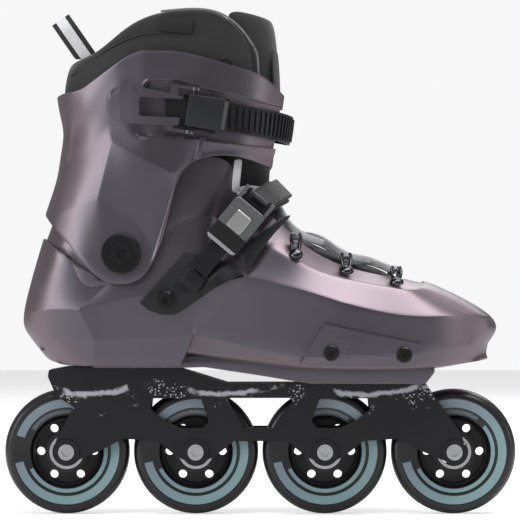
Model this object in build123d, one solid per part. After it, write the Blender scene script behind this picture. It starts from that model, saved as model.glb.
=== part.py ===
"""Right-foot urban inline skate: hard boot with hinged cuff, four-wheel frame, two ratchet buckles.

Frame: +X to the toe, +Y to the inner (medial) side, +Z up. The origin is on the ground, midway
between the outer axles, in the plane of the wheels. All sizes are in millimetres.
"""

from build123d import *
import math
import os

# ---------------------------------------------------------------- driving dimensions
WHEEL_DIAMETER = 80.0
WHEEL_WIDTH = 24.0
WHEEL_PITCH = 82.5
WHEEL_COUNT = 4

BOOT_LENGTH = 299.0  # heel to toe of the hard shell
BOOT_WIDTH = 109.0  # at the ball of the foot
WHEEL_GAP = 1.0  # between the top of a wheel and the underside of the frame's deck
SHELL_WALL = 3.0
CUFF_WALL = 3.5
CUFF_CLEARANCE = 1.4  # between the shell and the cuff that swings round it
CUFF_SWING_ROOM = 0.06  # extra clearance for each millimetre above or below the pivot
LINER_CLEARANCE = 0.3
LINER_PADDING = 6.0
TOE_SWING = 8.0  # how far the toe bends to the inner side

FRAME_GAP = 29.0  # between the inner faces of the frame's walls
FRAME_WALL = 3.0
FRAME_DECK = 3.0
MOUNT_SPACING = 165.0

BEARING_BORE = 8.0
BEARING_OUTSIDE = 22.0
BEARING_WIDTH = 7.0
BALL_DIAMETER = 3.97
BALLS_PER_BEARING = 7
SPACER_LENGTH = 10.25
RUNNING_CLEARANCE = 0.05
SCREW_SEAT = 3.4  # height of the strap screws' heads above the shell's skin
DRAPE_REACH = 2.2  # half the spacing of the places where a draped plate measures the skin
FIT_CLEARANCE = 0.02

MOUNT_BOLT = 6.0
SCREW = 4.0
PIVOT_BOLT = 8.0
PIVOT_CAP = 25.2

# ---------------------------------------------------------------- worked out from them
WHEEL_RADIUS = WHEEL_DIAMETER / 2
AXLE_Z = WHEEL_RADIUS
AXLE_XS = [(i - (WHEEL_COUNT - 1) / 2) * WHEEL_PITCH for i in range(WHEEL_COUNT)]
WALL_IN = FRAME_GAP / 2
WALL_OUT = WALL_IN + FRAME_WALL
HUB_HALF = SPACER_LENGTH / 2 + BEARING_WIDTH
DECK_Z = WHEEL_DIAMETER + WHEEL_GAP + FRAME_DECK  # top of the front deck
HEEL_RISE = 10.2  # rear deck above the front deck
HEEL_Z = DECK_Z + HEEL_RISE
BOLT_XS = [-MOUNT_SPACING / 2, MOUNT_SPACING / 2]

SX = BOOT_LENGTH / 299.0
SY = BOOT_WIDTH / 109.0
LIFT = DECK_Z - 84.0  # the boot's sections below are written for a deck at 84


def at(x, z):
    """A side-view point of the boot, moved with the boot's length and the deck's height."""
    return x * SX, z + LIFT


# side-view places of the fixings
PIVOT = at(-87.7, 166.5)
STRAP_SCREW = at(-60.0, 137.3)
LACE_HOOKS = [at(22.5, 164.0), at(54.5, 153.5), at(86.5, 146.5)]
LACE_EYELET = at(-15.0, 205.5)
EYELET_SEAT = 0.6  # depth of the flat seat cut round the lace eyelet
GUARD_SCREWS = [at(44.4, 104.2), at(90.5, 103.0)]
HOOK_LENGTH = 10.5  # from a hook's rivet to the end of its tab

# ---------------------------------------------------------------- leg form
# The leg part of the boot is a stack of superellipses: (height, back, front, half width).
LEG_SECTIONS = [
    (140.0, -150.0, 0.0, 45.0),
    (166.5, -144.5, -2.0, 46.0),
    (191.7, -137.9, 7.0, 46.5),
    (215.0, -130.4, 12.0, 47.0),
    (242.6, -126.2, 17.0, 47.5),
    (266.5, -130.5, 20.0, 48.0),
    (294.0, -127.0, 18.0, 47.0),
    (328.0, -120.0, 15.0, 45.0),
]
LEG_POWER = 2.4


def leg_section(z):
    """Back, front and half width of the leg form at a height."""
    rows = [(h + LIFT, b * SX, f * SX, w * SY) for h, b, f, w in LEG_SECTIONS]
    if z <= rows[0][0]:
        return rows[0][1:]
    for low, high in zip(rows, rows[1:]):
        if z <= high[0]:
            t = (z - low[0]) / (high[0] - low[0])
            return tuple(a + (b - a) * t for a, b in zip(low[1:], high[1:]))
    return rows[-1][1:]


def leg_point(x, z, inset=0.0):
    """The outer-side point of the leg form at a side-view place, moved in by inset."""
    back, front, half = leg_section(z)
    middle, reach = (back + front) / 2, (front - back) / 2 - inset
    share = min(abs(x - middle) / reach, 1.0)
    y = (half - inset) * (1 - share**LEG_POWER) ** (1 / LEG_POWER)
    return Vector(x, -y, z)


# ---------------------------------------------------------------- grids of points to closed solids
def swing(p):
    """Bends the forefoot to the inner side, as a right foot does."""
    start, toe = 20.0 * SX, 148.0 * SX
    if p.X <= start:
        return p
    return Vector(p.X, p.Y + TOE_SWING * SY * ((p.X - start) / (toe - start)) ** 2, p.Z)


def mirrored(p):
    return Vector(p.X, -p.Y, p.Z)


def round_grid(columns, closed=True):
    """Outer-side columns, front to back, joined to their mirror images.
    Closed: the first and last columns lie on the middle plane. Open: only the last one does."""
    back = [[mirrored(p) for p in col] for col in reversed(columns[:-1])]
    if closed:
        back = back[:-1]
    return [list(col) for col in columns] + back


def vertex_normals(grid, cyclic):
    """Outward normals of a grid, from the faces round each point."""
    n, m = len(grid), len(grid[0])
    sums = [[Vector(0, 0, 0) for _ in range(m)] for _ in range(n)]
    for i in range(n if cyclic else n - 1):
        k = (i + 1) % n
        for j in range(m - 1):
            a, b, c, d = grid[i][j], grid[k][j], grid[k][j + 1], grid[i][j + 1]
            face = (c - a).cross(d - b)
            if face.length < 1e-6:
                continue
            face = face.normalized()
            for p, q in ((i, j), (k, j), (k, j + 1), (i, j + 1)):
                sums[p][q] = sums[p][q] + face
    return [[v.normalized() if v.length > 1e-9 else v for v in col] for col in sums]


def inset_grid(grid, depth, cyclic, outward=-1.0):
    """The grid moved in by depth along its normals, with more at sharp corners."""
    normals = vertex_normals(grid, cyclic)
    return [
        [p + nrm * (outward * depth) for p, nrm in zip(col, nrms)]
        for col, nrms in zip(grid, normals)
    ]


def facets(a, b, c, d):
    """One four-sided facet as two triangles, leaving out any with no area."""
    made = []
    for tri in ((a, b, c), (a, c, d)):
        if (tri[1] - tri[0]).cross(tri[2] - tri[0]).length > 1e-4:
            made.append(Face(Wire.make_polygon(tri, close=True)))
    return made


def surface(grid, cyclic):
    """Facets of a grid. Past half way the diagonals turn, so the two sides are mirror images."""
    n, m = len(grid), len(grid[0])
    made = []
    for i in range(n if cyclic else n - 1):
        k = (i + 1) % n
        for j in range(m - 1):
            a, b, c, d = grid[i][j], grid[k][j], grid[k][j + 1], grid[i][j + 1]
            made += facets(a, b, c, d) if i < n // 2 else facets(d, a, b, c)
    return made


def bridge(line_a, line_b, cyclic):
    made = []
    n = len(line_a)
    for i in range(n if cyclic else n - 1):
        k = (i + 1) % n
        made += facets(line_a[i], line_a[k], line_b[k], line_b[i])
    return made


def closed_solid(faces):
    solid = Solid(Shell(faces))
    if solid.volume < 0:
        solid = Solid(solid.wrapped.Reversed())
    return solid


def cup_solid(outer, inner):
    """A cup with an open rim: two cyclic grids joined along their first rows."""
    rim = bridge([c[0] for c in outer], [c[0] for c in inner], True)
    return closed_solid(surface(outer, True) + surface(inner, True) + rim)


def sheet_solid(outer, inner):
    """A thick open sheet: two grids joined all round their edges."""
    edges = bridge([c[0] for c in outer], [c[0] for c in inner], False)
    edges += bridge([c[-1] for c in outer], [c[-1] for c in inner], False)
    edges += bridge(outer[0], inner[0], False) + bridge(outer[-1], inner[-1], False)
    return closed_solid(surface(outer, False) + surface(inner, False) + edges)


def between(a, b, t):
    return a + (b - a) * t


# ---------------------------------------------------------------- boot shell
# One column for each crease corner of the outer side, toe to heel. Each point is (x, half width, z):
# throat edge, upper crease, side crease, lower crease, sole edge.
FOOT_COLUMNS = [
    ((92.7, 0, 150.5), (111.2, 0, 147.0), (148.0, 0, 127.0), (147.2, 0, 110.0), (144.6, 0, 98.6)),
    ((92.7, 7, 150.3), (112.0, 14, 145.2), (144.3, 19.5, 127.0), (143.6, 19, 110.0), (141.0, 17, 98.4)),
    ((91.5, 13, 150.2), (108.0, 25, 143.8), (134.0, 35, 127.0), (133.5, 34.3, 109.0), (131.3, 31, 97.5)),
    ((88.0, 18, 150.6), (98.0, 35, 143.5), (115.0, 46, 127.1), (114.8, 45, 107.5), (113.5, 41, 95.5)),
    ((78.0, 21, 152.8), (82.0, 40, 145.2), (87.6, 52, 128.0), (87.6, 50.8, 105.0), (87.6, 46.5, 94.1)),
    ((56.0, 23, 158.0), (54.0, 41, 150.5), (51.1, 54.5, 136.0), (51.1, 53.4, 104.0), (51.1, 48, 94.1)),
    ((31.0, 26, 170.0), (28.0, 42, 158.5), (23.6, 52.5, 144.5), (23.6, 50.5, 103.0), (23.6, 44, 94.7)),
    ((10.0, 28.5, 188.0), (1.0, 42, 171.0), (-8.4, 48.5, 152.0), (-8.4, 45.5, 109.4), (-8.4, 39, 98.9)),
]
# The same for the ankle and heel, where the top two points lie on the leg form: (x, z) of the top
# edge and of the ledge, then the side crease, lower crease and sole edge as before.
ANKLE_COLUMNS = [
    ((-6.5, 207.0), (-19.0, 180.0), (-37.0, 45.5, 147.0), (-41.0, 39.5, 115.6), (-46.8, 33, 104.3)),
    ((-17.0, 224.0), (-30.0, 186.0), (-43.5, 45.3, 145.8), (-43.0, 41.5, 115.2), (-51.0, 35, 95.5)),
    ((-50.0, 222.0), (-62.0, 176.0), (-75.6, 43.0, 140.2), (-75.6, 40.0, 113.3), (-75.6, 34.5, 95.5)),
    ((-82.0, 210.0), (-101.2, 149.1), (-114.7, 39.0, 131.2), (-105.1, 38.5, 112.0), (-107.0, 32, 95.5)),
    ((-105.0, 203.0), (-121.5, 161.8), (-134.0, 31.0, 131.2), (-128.0, 30.5, 113.0), (-119.0, 26, 95.5)),
    ((-121.0, 199.0), (-135.0, 171.0), (-146.5, 18.0, 131.2), (-143.0, 17.5, 114.0), (-129.0, 14, 96.8)),
    (None, None, (-151.2, 0.0, 131.2), (-148.5, 0.0, 114.5), (-133.5, 0, 98.2)),
]
DRAWN_CUFF_ROOM = 4.9  # cuff wall and clearance the ankle's side points are drawn for
HEEL_TOP_Z = 197.0
HEEL_LEDGE_Z = 175.4
LEDGE_STEP = 2.8  # how far the heel stands out below its ledge
LEDGE_START = 3  # ankle column where the ledge begins
UNDERSIDE_Z = [96.5, 96.5, 94.5, 92.5, 91.0, 91.0, 91.5, 94.0, 97.0, 95.5, 95.5, 95.5, 95.5, 95.5, 95.5]
UNDERSIDE_X = [130.0, 130.0, 122.0, 108.0, 87.6, 51.1, 23.6, -8.4, -44.0, -50.0, -75.6, -100.0, -112.0, -120.0, -126.0]


def foot_point(p):
    x, z = at(p[0], p[2])
    return swing(Vector(x, -p[1] * SY, z))


def under_cuff(z):
    """How far inside the leg form the shell lies, so the cuff can swing over it."""
    return CUFF_WALL + CUFF_CLEARANCE + CUFF_SWING_ROOM * abs(z - PIVOT[1])


def ankle_rows(n, column):
    """Top edge, ledge top and ledge edge of an ankle or heel column."""
    if column[0] is None:
        top_z, ledge_z = HEEL_TOP_Z + LIFT, HEEL_LEDGE_Z + LIFT
        top = Vector(leg_section(top_z)[0] + under_cuff(top_z), 0, top_z)
        ledge = Vector(leg_section(ledge_z)[0] + under_cuff(ledge_z), 0, ledge_z)
    else:
        top, ledge = at(*column[0]), at(*column[1])
        top = leg_point(*top, under_cuff(top[1]))
        ledge = leg_point(*ledge, under_cuff(ledge[1]))
    step = LEDGE_STEP if n > LEDGE_START else LEDGE_STEP * 0.15
    middle = Vector(-85.0 * SX, 0, ledge.Z)
    out = (ledge - middle).normalized() * step
    return [top, ledge + Vector(0, 0, 1.0), ledge + out]


def side_by_cuff(x, y, z):
    """Side point of an ankle or heel column, drawn in for a cuff that takes more room."""
    return foot_point((x, y - min(y, max(0, CUFF_WALL + CUFF_CLEARANCE - DRAWN_CUFF_ROOM)), z))


def shell_half():
    """Outer-side columns of the boot's skin, from the rim down to the middle of the sole."""
    columns = []
    for column in FOOT_COLUMNS:
        rim, upper, side, lower, sole = (foot_point(p) for p in column)
        columns.append([rim, between(rim, upper, 0.6), upper, side, lower, sole])
    for n, column in enumerate(ANKLE_COLUMNS):
        rows = ankle_rows(n, column)
        columns.append(rows + [side_by_cuff(*column[2])] + [foot_point(p) for p in column[3:]])
    for col, x, z in zip(columns, UNDERSIDE_X, UNDERSIDE_Z):
        low = between(col[4], col[5], 0.6) + (col[4] - col[3]).normalized() * 1.2
        col.insert(5, low)
        col.append(swing(Vector(x * SX, 0, z + LIFT)))
    return columns


def shell_skin():
    half = shell_half()
    grid = round_grid(half)
    n = len(half)
    for i in range(n, len(grid)):  # the inner side bends the same way as the outer side
        twin = half[len(grid) - i]
        grid[i] = [Vector(p.X, 2 * centre_y(p.X) - p.Y, p.Z) for p in twin]
    return grid


def centre_y(x):
    return swing(Vector(x, 0, 0)).Y


def floor_z(x):
    """Height of the shell's inner floor."""
    heel, arch, toe = -50.0 * SX, 30.0 * SX, 120.0 * SX
    high, low = 104.5 + LIFT, 99.5 + LIFT
    if x < heel:
        return high
    if x < arch:
        return high + (low - high) * (x - heel) / (arch - heel)
    return low + max(0.0, x - toe) * 0.06


def cavity(depth):
    """The inside of the boot, depth in from the skin's side walls and up from its floor."""
    skin = shell_skin()
    moved = inset_grid(skin, depth, True)
    grid = []
    for n, col in enumerate(moved):
        rows = [col[0], col[1], col[2], col[3]]
        rows[2] = between(rows[1], rows[3], 0.35) if col[1].Z - col[2].Z < 2.5 else rows[2]
        middle = Vector(col[4].X, centre_y(col[4].X), 0)
        foot = Vector(col[4].X, col[4].Y, 0)
        low = between(foot, middle, 0.06)
        floor = floor_z(col[4].X) + depth - SHELL_WALL
        rows.append(Vector(low.X, low.Y, floor + 5.0))
        edge = between(foot, middle, 0.16)
        rows.append(Vector(edge.X, edge.Y, floor))
        twin = skin[min(n, len(skin) - n)][4].X
        x = min(max(twin, -112.0 * SX), 118.0 * SX)
        rows.append(Vector(x, centre_y(x), floor_z(x) + depth - SHELL_WALL))
        grid.append(rows)
    return grid


SOLE_HALF = 31.0


def sole_block():
    """The stiff bridge under the foot that carries the frame: heel pad, arch and ball pad."""
    line = [
        (-123.0, 95.2),
        (-119.0, 84.0 + HEEL_RISE),
        (-51.3, 84.0 + HEEL_RISE),
        (-35.3, 94.6),
        (0.0, 89.3),
        (31.9, 84.0),
        (104.8, 84.0),
        (110.6, 91.3),
        (110.6, 96.0),
        (31.9, 97.0),
        (-35.0, 101.0),
        (-51.0, 101.0),
        (-123.0, 98.0),
    ]
    points = [at(x, z) for x, z in line]
    face = Plane.XZ * make_face(Polyline(*points, close=True).edges())
    return extrude(face, SOLE_HALF * SY, both=True)


def cylinder_y(x, z, radius, y0, y1):
    """A cylinder along Y from y0 to y1."""
    low, high = min(y0, y1), max(y0, y1)
    return Pos(x, (low + high) / 2, z) * Rot(90, 0, 0) * Cylinder(radius, high - low)


def cylinder_z(x, y, radius, z0, z1):
    return Pos(x, y, (z0 + z1) / 2) * Cylinder(radius, z1 - z0)


# ---------------------------------------------------------------- places on the skin


def skin_hit(x, z, grid=None):
    """The outer-side skin point and its outward normal at a side-view place."""
    grid = grid or shell_half()
    ahead = Vector(0, 1, 0)
    best = None
    for i in range(len(grid) - 1):
        for j in range(len(grid[0]) - 1):
            quad = (grid[i][j], grid[i + 1][j], grid[i + 1][j + 1], grid[i][j + 1])
            for a, b, c in ((quad[0], quad[1], quad[2]), (quad[0], quad[2], quad[3])):
                area = (b.X - a.X) * (c.Z - a.Z) - (c.X - a.X) * (b.Z - a.Z)
                if abs(area) < 1e-6:
                    continue
                u = ((x - a.X) * (c.Z - a.Z) - (c.X - a.X) * (z - a.Z)) / area
                v = ((b.X - a.X) * (z - a.Z) - (x - a.X) * (b.Z - a.Z)) / area
                if u < -1e-6 or v < -1e-6 or u + v > 1 + 1e-6:
                    continue
                y = a.Y + u * (b.Y - a.Y) + v * (c.Y - a.Y)
                normal = (b - a).cross(c - a).normalized()
                if normal.dot(ahead) > 0:
                    normal = normal * -1
                if best is None or y < best[0].Y:
                    best = (Vector(x, y, z), normal)
    return best


def both_sides(solid):
    """A solid on the outer side and its mirror image on the inner side."""
    return [solid, mirror(solid, Plane.XZ)]


def make_shell(skin):
    outer_faces = cup_solid(skin, cavity(SHELL_WALL))
    body = outer_faces + sole_block()
    for x in BOLT_XS:
        body -= cylinder_z(x, 0, MOUNT_BOLT / 2 + 0.3, 60, 130 + LIFT)
    for x, plate in zip(BOLT_XS, (mount_plate(0, 0.3), mount_plate(1, 0.3))):
        body -= plate
    reach = BOOT_WIDTH
    body -= cylinder_y(*PIVOT, PIVOT_BOLT / 2 + RUNNING_CLEARANCE, -reach, reach)
    body -= cylinder_y(*STRAP_SCREW, SCREW / 2 + FIT_CLEARANCE, -reach, reach)
    body -= cylinder_y(*LACE_EYELET, 3.2, -reach, reach)
    seat = skin_hit(*LACE_EYELET)[0].Y + EYELET_SEAT
    for side in (-1, 1):
        body -= cylinder_y(*LACE_EYELET, 5.0, side * reach, -side * seat)
    for side in (-1, 1):
        for x, z in GUARD_SCREWS:
            body -= cylinder_y(x, z, SCREW / 2 + FIT_CLEARANCE, side * reach, side * 38.0 * SY)
    return body.solids().sort_by(SortBy.VOLUME)[-1]


def mount_plate(which, grow=0.0):
    """Threaded steel plate let into the floor over a mounting bolt."""
    x = BOLT_XS[which]
    length, width, thick = 34.0, 26.0, 4.0
    top = floor_z(x) - 0.3
    box = Pos(x, 0, top - thick / 2 + grow / 2) * Box(length + 2 * grow, width + 2 * grow, thick + grow)
    return box


def make_mount_plates():
    made = []
    for n, x in enumerate(BOLT_XS):
        hole = cylinder_z(x, 0, MOUNT_BOLT / 2 + FIT_CLEARANCE, 60, 130 + LIFT)
        made.append(mount_plate(n) - hole)
    return made


# ---------------------------------------------------------------- sheets on the leg form and the skin
def ring_angle(x, z):
    """Angle round the leg form of a side-view place: 0 in front, 90 outside, 180 behind."""
    back, front, _ = leg_section(z)
    share = (x - (back + front) / 2) / ((front - back) / 2)
    share = max(-1.0, min(1.0, share))
    return math.degrees(math.acos(math.copysign(abs(share) ** (LEG_POWER / 2), share)))


def ring_point(angle, z, inset):
    """Point of the leg form at an angle and height; negative angles are on the inner side."""
    back, front, half = leg_section(z)
    c, s = math.cos(math.radians(angle)), math.sin(math.radians(angle))
    power = 2 / LEG_POWER
    x = math.copysign(abs(c) ** power, c) * ((front - back) / 2 - inset)
    y = math.copysign(abs(s) ** power, s) * (half - inset)
    return Vector((back + front) / 2 + x, -y, z)


def leg_columns(ends, inset, rows=5):
    """Columns on the leg form between (angle, z) end points, bottom to top."""
    grid = []
    for (a0, z0), (a1, z1) in ends:
        steps = [n / (rows - 1) for n in range(rows)]
        grid.append([ring_point(a0 + (a1 - a0) * t, z0 + (z1 - z0) * t, inset) for t in steps])
    return grid


def wrap(columns, low, high, rows=5):
    """A sheet on the outside of the leg form, from low to high above it.
    Columns are side-view (x, bottom z, top z), front to back."""
    ends = []
    for x, z0, z1 in columns:
        x, z0 = at(x, z0)
        z1 = z1 + LIFT
        ends.append(((ring_angle(x, z0), z0), (ring_angle(x, z1), z1)))
    return sheet_solid(leg_columns(ends, -high, rows), leg_columns(ends, -low, rows))


def refine(columns, parts=4):
    """More places between the given ones, along and across."""
    def along(line):
        return [between(a, b, t / parts) for a, b in zip(line, line[1:]) for t in range(parts)] + [line[-1]]
    fine = [along([Vector(*p) for p in column]) for column in columns]
    rows = [along(list(row)) for row in zip(*fine)]
    return [list(column) for column in zip(*rows)]


def drape(columns, low, high, side=-1):
    """A sheet over the shell's skin, from low to high outside it. Columns are lists of side-view points.
    Each corner stands outside the highest skin near it, so no crease cuts into the sheet."""
    half = shell_half()
    steps = (-DRAPE_REACH, DRAPE_REACH)
    top, bottom = [], []
    for column in refine(columns):
        tops, bottoms = [], []
        for p in column:
            x, z = at(p.X, p.Y)
            near = [(x, z)] + [(x + dx, z + dz) for dx in steps for dz in steps]
            hits = [skin_hit(*q, half) for q in near]
            y = min(hit[0].Y for hit in hits if hit)
            bottoms.append(Vector(x, y - low, z))
            tops.append(Vector(x, y - high, z))
        bottom.append(bottoms)
        top.append(tops)
    if side > 0:
        top = [[to_inner(p) for p in col] for col in top]
        bottom = [[to_inner(p) for p in col] for col in bottom]
    return sheet_solid(top, bottom)


def to_inner(p):
    return Vector(p.X, 2 * centre_y(p.X) - p.Y, p.Z)


def prism_y(points, y0, y1, radius=0.0):
    """A side-view polygon carried along Y from y0 to y1, its corners rounded."""
    face = make_face(Polyline(*points, close=True).edges())
    if radius:
        face = fillet(face.vertices(), radius)
    low, high = min(y0, y1), max(y0, y1)
    return Pos(0, high, 0) * extrude(Plane.XZ * face, high - low)


def hex_socket(flats, depth):
    return extrude(RegularPolygon(flats / 2, 6, major_radius=False), depth)


def on_side(hit, side=-1):
    """Placement with +Z pointing out of the skin at a hit."""
    point, normal = hit
    if side > 0:
        point, normal = to_inner(point), Vector(normal.X, -normal.Y, normal.Z)
    along = (Vector(1, 0, 0) - normal * normal.X) * -side
    return Plane(point, x_dir=along, z_dir=normal)


def button_screw(plane, head, shank, length, rise, socket):
    """A screw whose shank goes down from the head's seat on a plane."""
    body = Pos(0, 0, rise / 2) * Cylinder(head, rise)
    body = chamfer(body.edges().sort_by(Axis.Z)[-1], rise * 0.35)
    body += Pos(0, 0, -length / 2 + 0.01) * Cylinder(shank, length)
    body -= Pos(0, 0, rise * 0.35) * hex_socket(socket, rise)
    return plane * body


# ---------------------------------------------------------------- boot furniture
def make_liner_boot():
    low = SHELL_WALL + LINER_CLEARANCE
    return cup_solid(cavity(low), cavity(low + LINER_PADDING))


def make_footbed():
    """Foam insole on the liner's floor, turned up at its edge."""
    depth = SHELL_WALL + 2 * LINER_CLEARANCE + LINER_PADDING
    grid = []
    for col in cavity(depth):
        edge, floor, middle = col[4], col[5], col[6]
        top = Vector(middle.X, middle.Y, middle.Z + 4.0)
        shoulder = between(edge, Vector(edge.X, centre_y(edge.X), edge.Z), 0.14)
        grid.append([top, shoulder, edge, floor, middle])
    return closed_solid(surface(grid, True))


def shock_pad_box(grow):
    x = -88.0 * SX
    z = floor_z(x) + 2 * LINER_CLEARANCE + LINER_PADDING
    return Pos(x, 0, z + 1.0) * Box(44 * SX + 2 * grow, 26 * SY + 2 * grow, 2.0 + 2 * grow)


LINER_TOP = [
    (-2.6, 282.0),
    (-1.5, 298.0),
    (-4.2, 305.6),
    (-12.6, 315.1),
    (-25.3, 323.1),
    (-41.3, 324.7),
    (-64.8, 322.0),
    (-78.5, 317.8),
    (-92.3, 309.8),
    (-106.0, 298.2),
    (-115.0, 294.5),
]


def liner_top(angle):
    """Height of the collar's top edge at an angle."""
    pairs = []
    for x, z in LINER_TOP[1:]:
        x, z = at(x, z)
        pairs.append((ring_angle(x, z), z))
    pairs.append((180.0, 289.5 + LIFT))
    if angle <= pairs[0][0]:
        return pairs[0][1]
    for (a0, z0), (a1, z1) in zip(pairs, pairs[1:]):
        if angle <= a1:
            return z0 + (z1 - z0) * (angle - a0) / max(a1 - a0, 1e-6)
    return pairs[-1][1]


def collar_bottom(angle):
    front, back = 238.0 + LIFT, 207.0 + LIFT
    return front + (back - front) * max(0.0, min(1.0, (angle - 60) / 80))


COLLAR_FRONT = 47.0
TONGUE_EDGE = 42.0
COLLAR_PADDING = 7.0


def make_collar():
    """Padded upper liner inside the cuff, open in front."""
    angles = [COLLAR_FRONT, 56, 66, 78, 90, 102, 114, 126, 138, 150, 160, 170, 180]
    ends = [((a, collar_bottom(a)), (a, liner_top(a))) for a in angles]
    low = CUFF_WALL + LINER_CLEARANCE + 1.8
    return sheet_solid(
        round_grid(leg_columns(ends, low, 8), False),
        round_grid(leg_columns(ends, low + COLLAR_PADDING, 8), False),
    )


def make_tongue_upper():
    """Padded tongue between the collar's front edges."""
    ends = []
    for n in range(9):
        angle = TONGUE_EDGE * (1 - n / 4)
        share = abs(angle) / TONGUE_EDGE
        ends.append(((angle, 230.0 + LIFT), (angle, 321.0 + LIFT - 14 * share**3)))
    low = CUFF_WALL + 2.2
    return sheet_solid(leg_columns(ends, low, 8), leg_columns(ends, low + 7.5, 8))


TONGUE_STATIONS = [
    (87.0, 150.0, 9.0),
    (80.0, 153.0, 11.5),
    (70.0, 156.0, 13.0),
    (57.5, 162.0, 14.0),
    (44.7, 168.0, 15.0),
    (31.9, 173.5, 17.0),
    (22.0, 181.0, 18.0),
    (12.0, 191.5, 19.0),
    (4.0, 202.5, 20.0),
]


def tongue_height(x):
    """Height of the lower tongue's ridge at a length."""
    rows = [(a, z) for a, z, _ in TONGUE_STATIONS]
    for (x1, z1), (x0, z0) in zip(rows, rows[1:]):
        if x >= x0:
            return z0 + (z1 - z0) * (x - x0) / (x1 - x0)
    return rows[-1][1]


def make_tongue_lower():
    grid, under = [], []
    for x, z, half in TONGUE_STATIONS:
        steep = 0.75 if x < 30 else 0.3
        column, below = [], []
        for share in (-1.0, -0.6, 0.0, 0.6, 1.0):
            px, pz = at(x, z - 3.0 * share * share)
            p = swing(Vector(px, -share * half * SY, pz))
            column.append(p)
            below.append(p + Vector(-5.0 * steep, 0, -5.0))
        grid.append(column)
        under.append(below)
    return sheet_solid(grid, under)


def make_pull_loop():
    """Webbing loop sewn to the back of the collar."""
    width, thick, radius, rise = 13.0, 1.6, 8.0, 20.0
    outer = Pos(0, rise) * Circle(radius + thick) + Pos(0, rise / 2) * Rectangle(2 * (radius + thick), rise)
    inner = Pos(0, rise) * Circle(radius) + Pos(0, rise / 2 - 1) * Rectangle(2 * radius, rise + 2)
    x, z = at(-111.5, 292.5)
    lean = Vector(-0.57, 0, 0.82)
    plane = Plane(Vector(x, 0, z), x_dir=Vector(0, 1, 0), z_dir=Vector(0, 1, 0).cross(lean))
    face = plane * (outer - inner)
    loop = extrude(face, width / 2, both=True)
    keep = Pos(x - 20, 0, z + 29.5) * Box(90, 60, 60)
    return (loop & keep).solids()[0]


# ---------------------------------------------------------------- cuff
CUFF_COLUMNS = [
    ((6.9, 221.1), (15.3, 266.9)),
    ((-12.7, 227.5), (1.2, 279.0)),
    ((-31.5, 227.8), (-18.7, 285.6)),
    ((-43.4, 223.4), (-36.0, 290.6)),
    ((-50.6, 215.4), (-51.3, 293.8)),
    ((-57.7, 197.1), (-60.3, 294.4)),
    ((-66.7, 165.1), (-70.5, 294.5)),
    ((-75.6, 151.0), (-75.6, 294.4)),
    ((-87.2, 147.2), (-84.6, 290.6)),
    ((-102.5, 151.7), (-93.0, 284.8)),
    ((-116.6, 167.0), (-105.7, 275.8)),
    ((-128.1, 179.8), (-115.3, 270.0)),
    ((-134.5, 187.3), (-124.3, 268.6)),
]
CUFF_BACK = (191.7, 266.5)


def cuff_ends():
    ends = []
    for low, high in CUFF_COLUMNS:
        low, high = at(*low), at(*high)
        ends.append(((ring_angle(*low), low[1]), (ring_angle(*high), high[1])))
    ends.append(((180.0, CUFF_BACK[0] + LIFT), (180.0, CUFF_BACK[1] + LIFT)))
    return ends


def make_cuff():
    ends = cuff_ends()
    outer = round_grid(leg_columns(ends, 0.0, 9), False)
    inner = round_grid(leg_columns(ends, CUFF_WALL, 9), False)
    body = sheet_solid(outer, inner)
    body -= cylinder_y(*PIVOT, PIVOT_BOLT / 2 + RUNNING_CLEARANCE, -BOOT_WIDTH, BOOT_WIDTH)
    for x, z in CUFF_SCREWS:
        body -= cylinder_y(x, z, SCREW / 2 + FIT_CLEARANCE, -BOOT_WIDTH, 0)
    body -= cylinder_y(*ANCHOR, SCREW / 2 + FIT_CLEARANCE, 0, BOOT_WIDTH)
    return body.solids().sort_by(SortBy.VOLUME)[-1]


# buckle on the cuff: the lever's pin runs nearly upright
LEVER_PIN = Vector(-42.7 * SX, 0, 256.3 + LIFT)
PIN_LEAN = Vector(0.155, 0, 0.988)
PIN_OUT = 5.6  # pin's centre above the cuff
CUFF_SCREWS = [at(-33.0, 253.5)]
ANCHOR = at(-38.0, 255.0)
LADDER_LOW = 1.5
LADDER_THICK = 2.4
BASE_THICK = 1.05


def surface_y(x, z):
    """Outer y of the cuff at a side-view place."""
    return ring_point(ring_angle(x, z), z, 0).Y


def pin_plane():
    """Plane whose Z runs along the lever's pin and whose Y points away from the cuff."""
    y = surface_y(LEVER_PIN.X, LEVER_PIN.Z) - PIN_OUT
    return Plane(Vector(LEVER_PIN.X, y, LEVER_PIN.Z), x_dir=Vector(0.988, 0, -0.155), z_dir=PIN_LEAN)


def make_cuff_base():
    """Plate on the cuff with two ears for the lever's pin and two for the pawl's."""
    plate = wrap([(-20, 244, 263.5), (-30, 244, 264.5), (-40, 244.5, 266), (-48, 246, 266.5)], 0.25, BASE_THICK)
    plane = pin_plane()
    for side in (-1, 1):
        ear = Pos(0, 1.6, side * 11.4) * Box(7.0, 6.8, 1.8)
        far = Pos(13.5, 2.1, side * 11.4) * Box(5.0, 8.0, 1.8)
        plate += plane * (ear + far)
    plate -= plane * Cylinder(1.55, 40)
    plate -= plane * (Pos(13.5, 0, 0) * Cylinder(1.05, 40))
    for x, z in CUFF_SCREWS:
        plate -= cylinder_y(x, z, SCREW / 2 + 0.1, -BOOT_WIDTH, 0)
        plate -= cylinder_y(x, z, 3.7, surface_y(x, z) - 0.62, -BOOT_WIDTH)
    return plate.solids().sort_by(SortBy.VOLUME)[-1]


def make_cuff_pins():
    plane = pin_plane()
    long = plane * Cylinder(1.5, 27.6)
    short = plane * (Pos(13.5, 0, 0) * Cylinder(1.0, 24.6))
    return [long, short]


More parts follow.
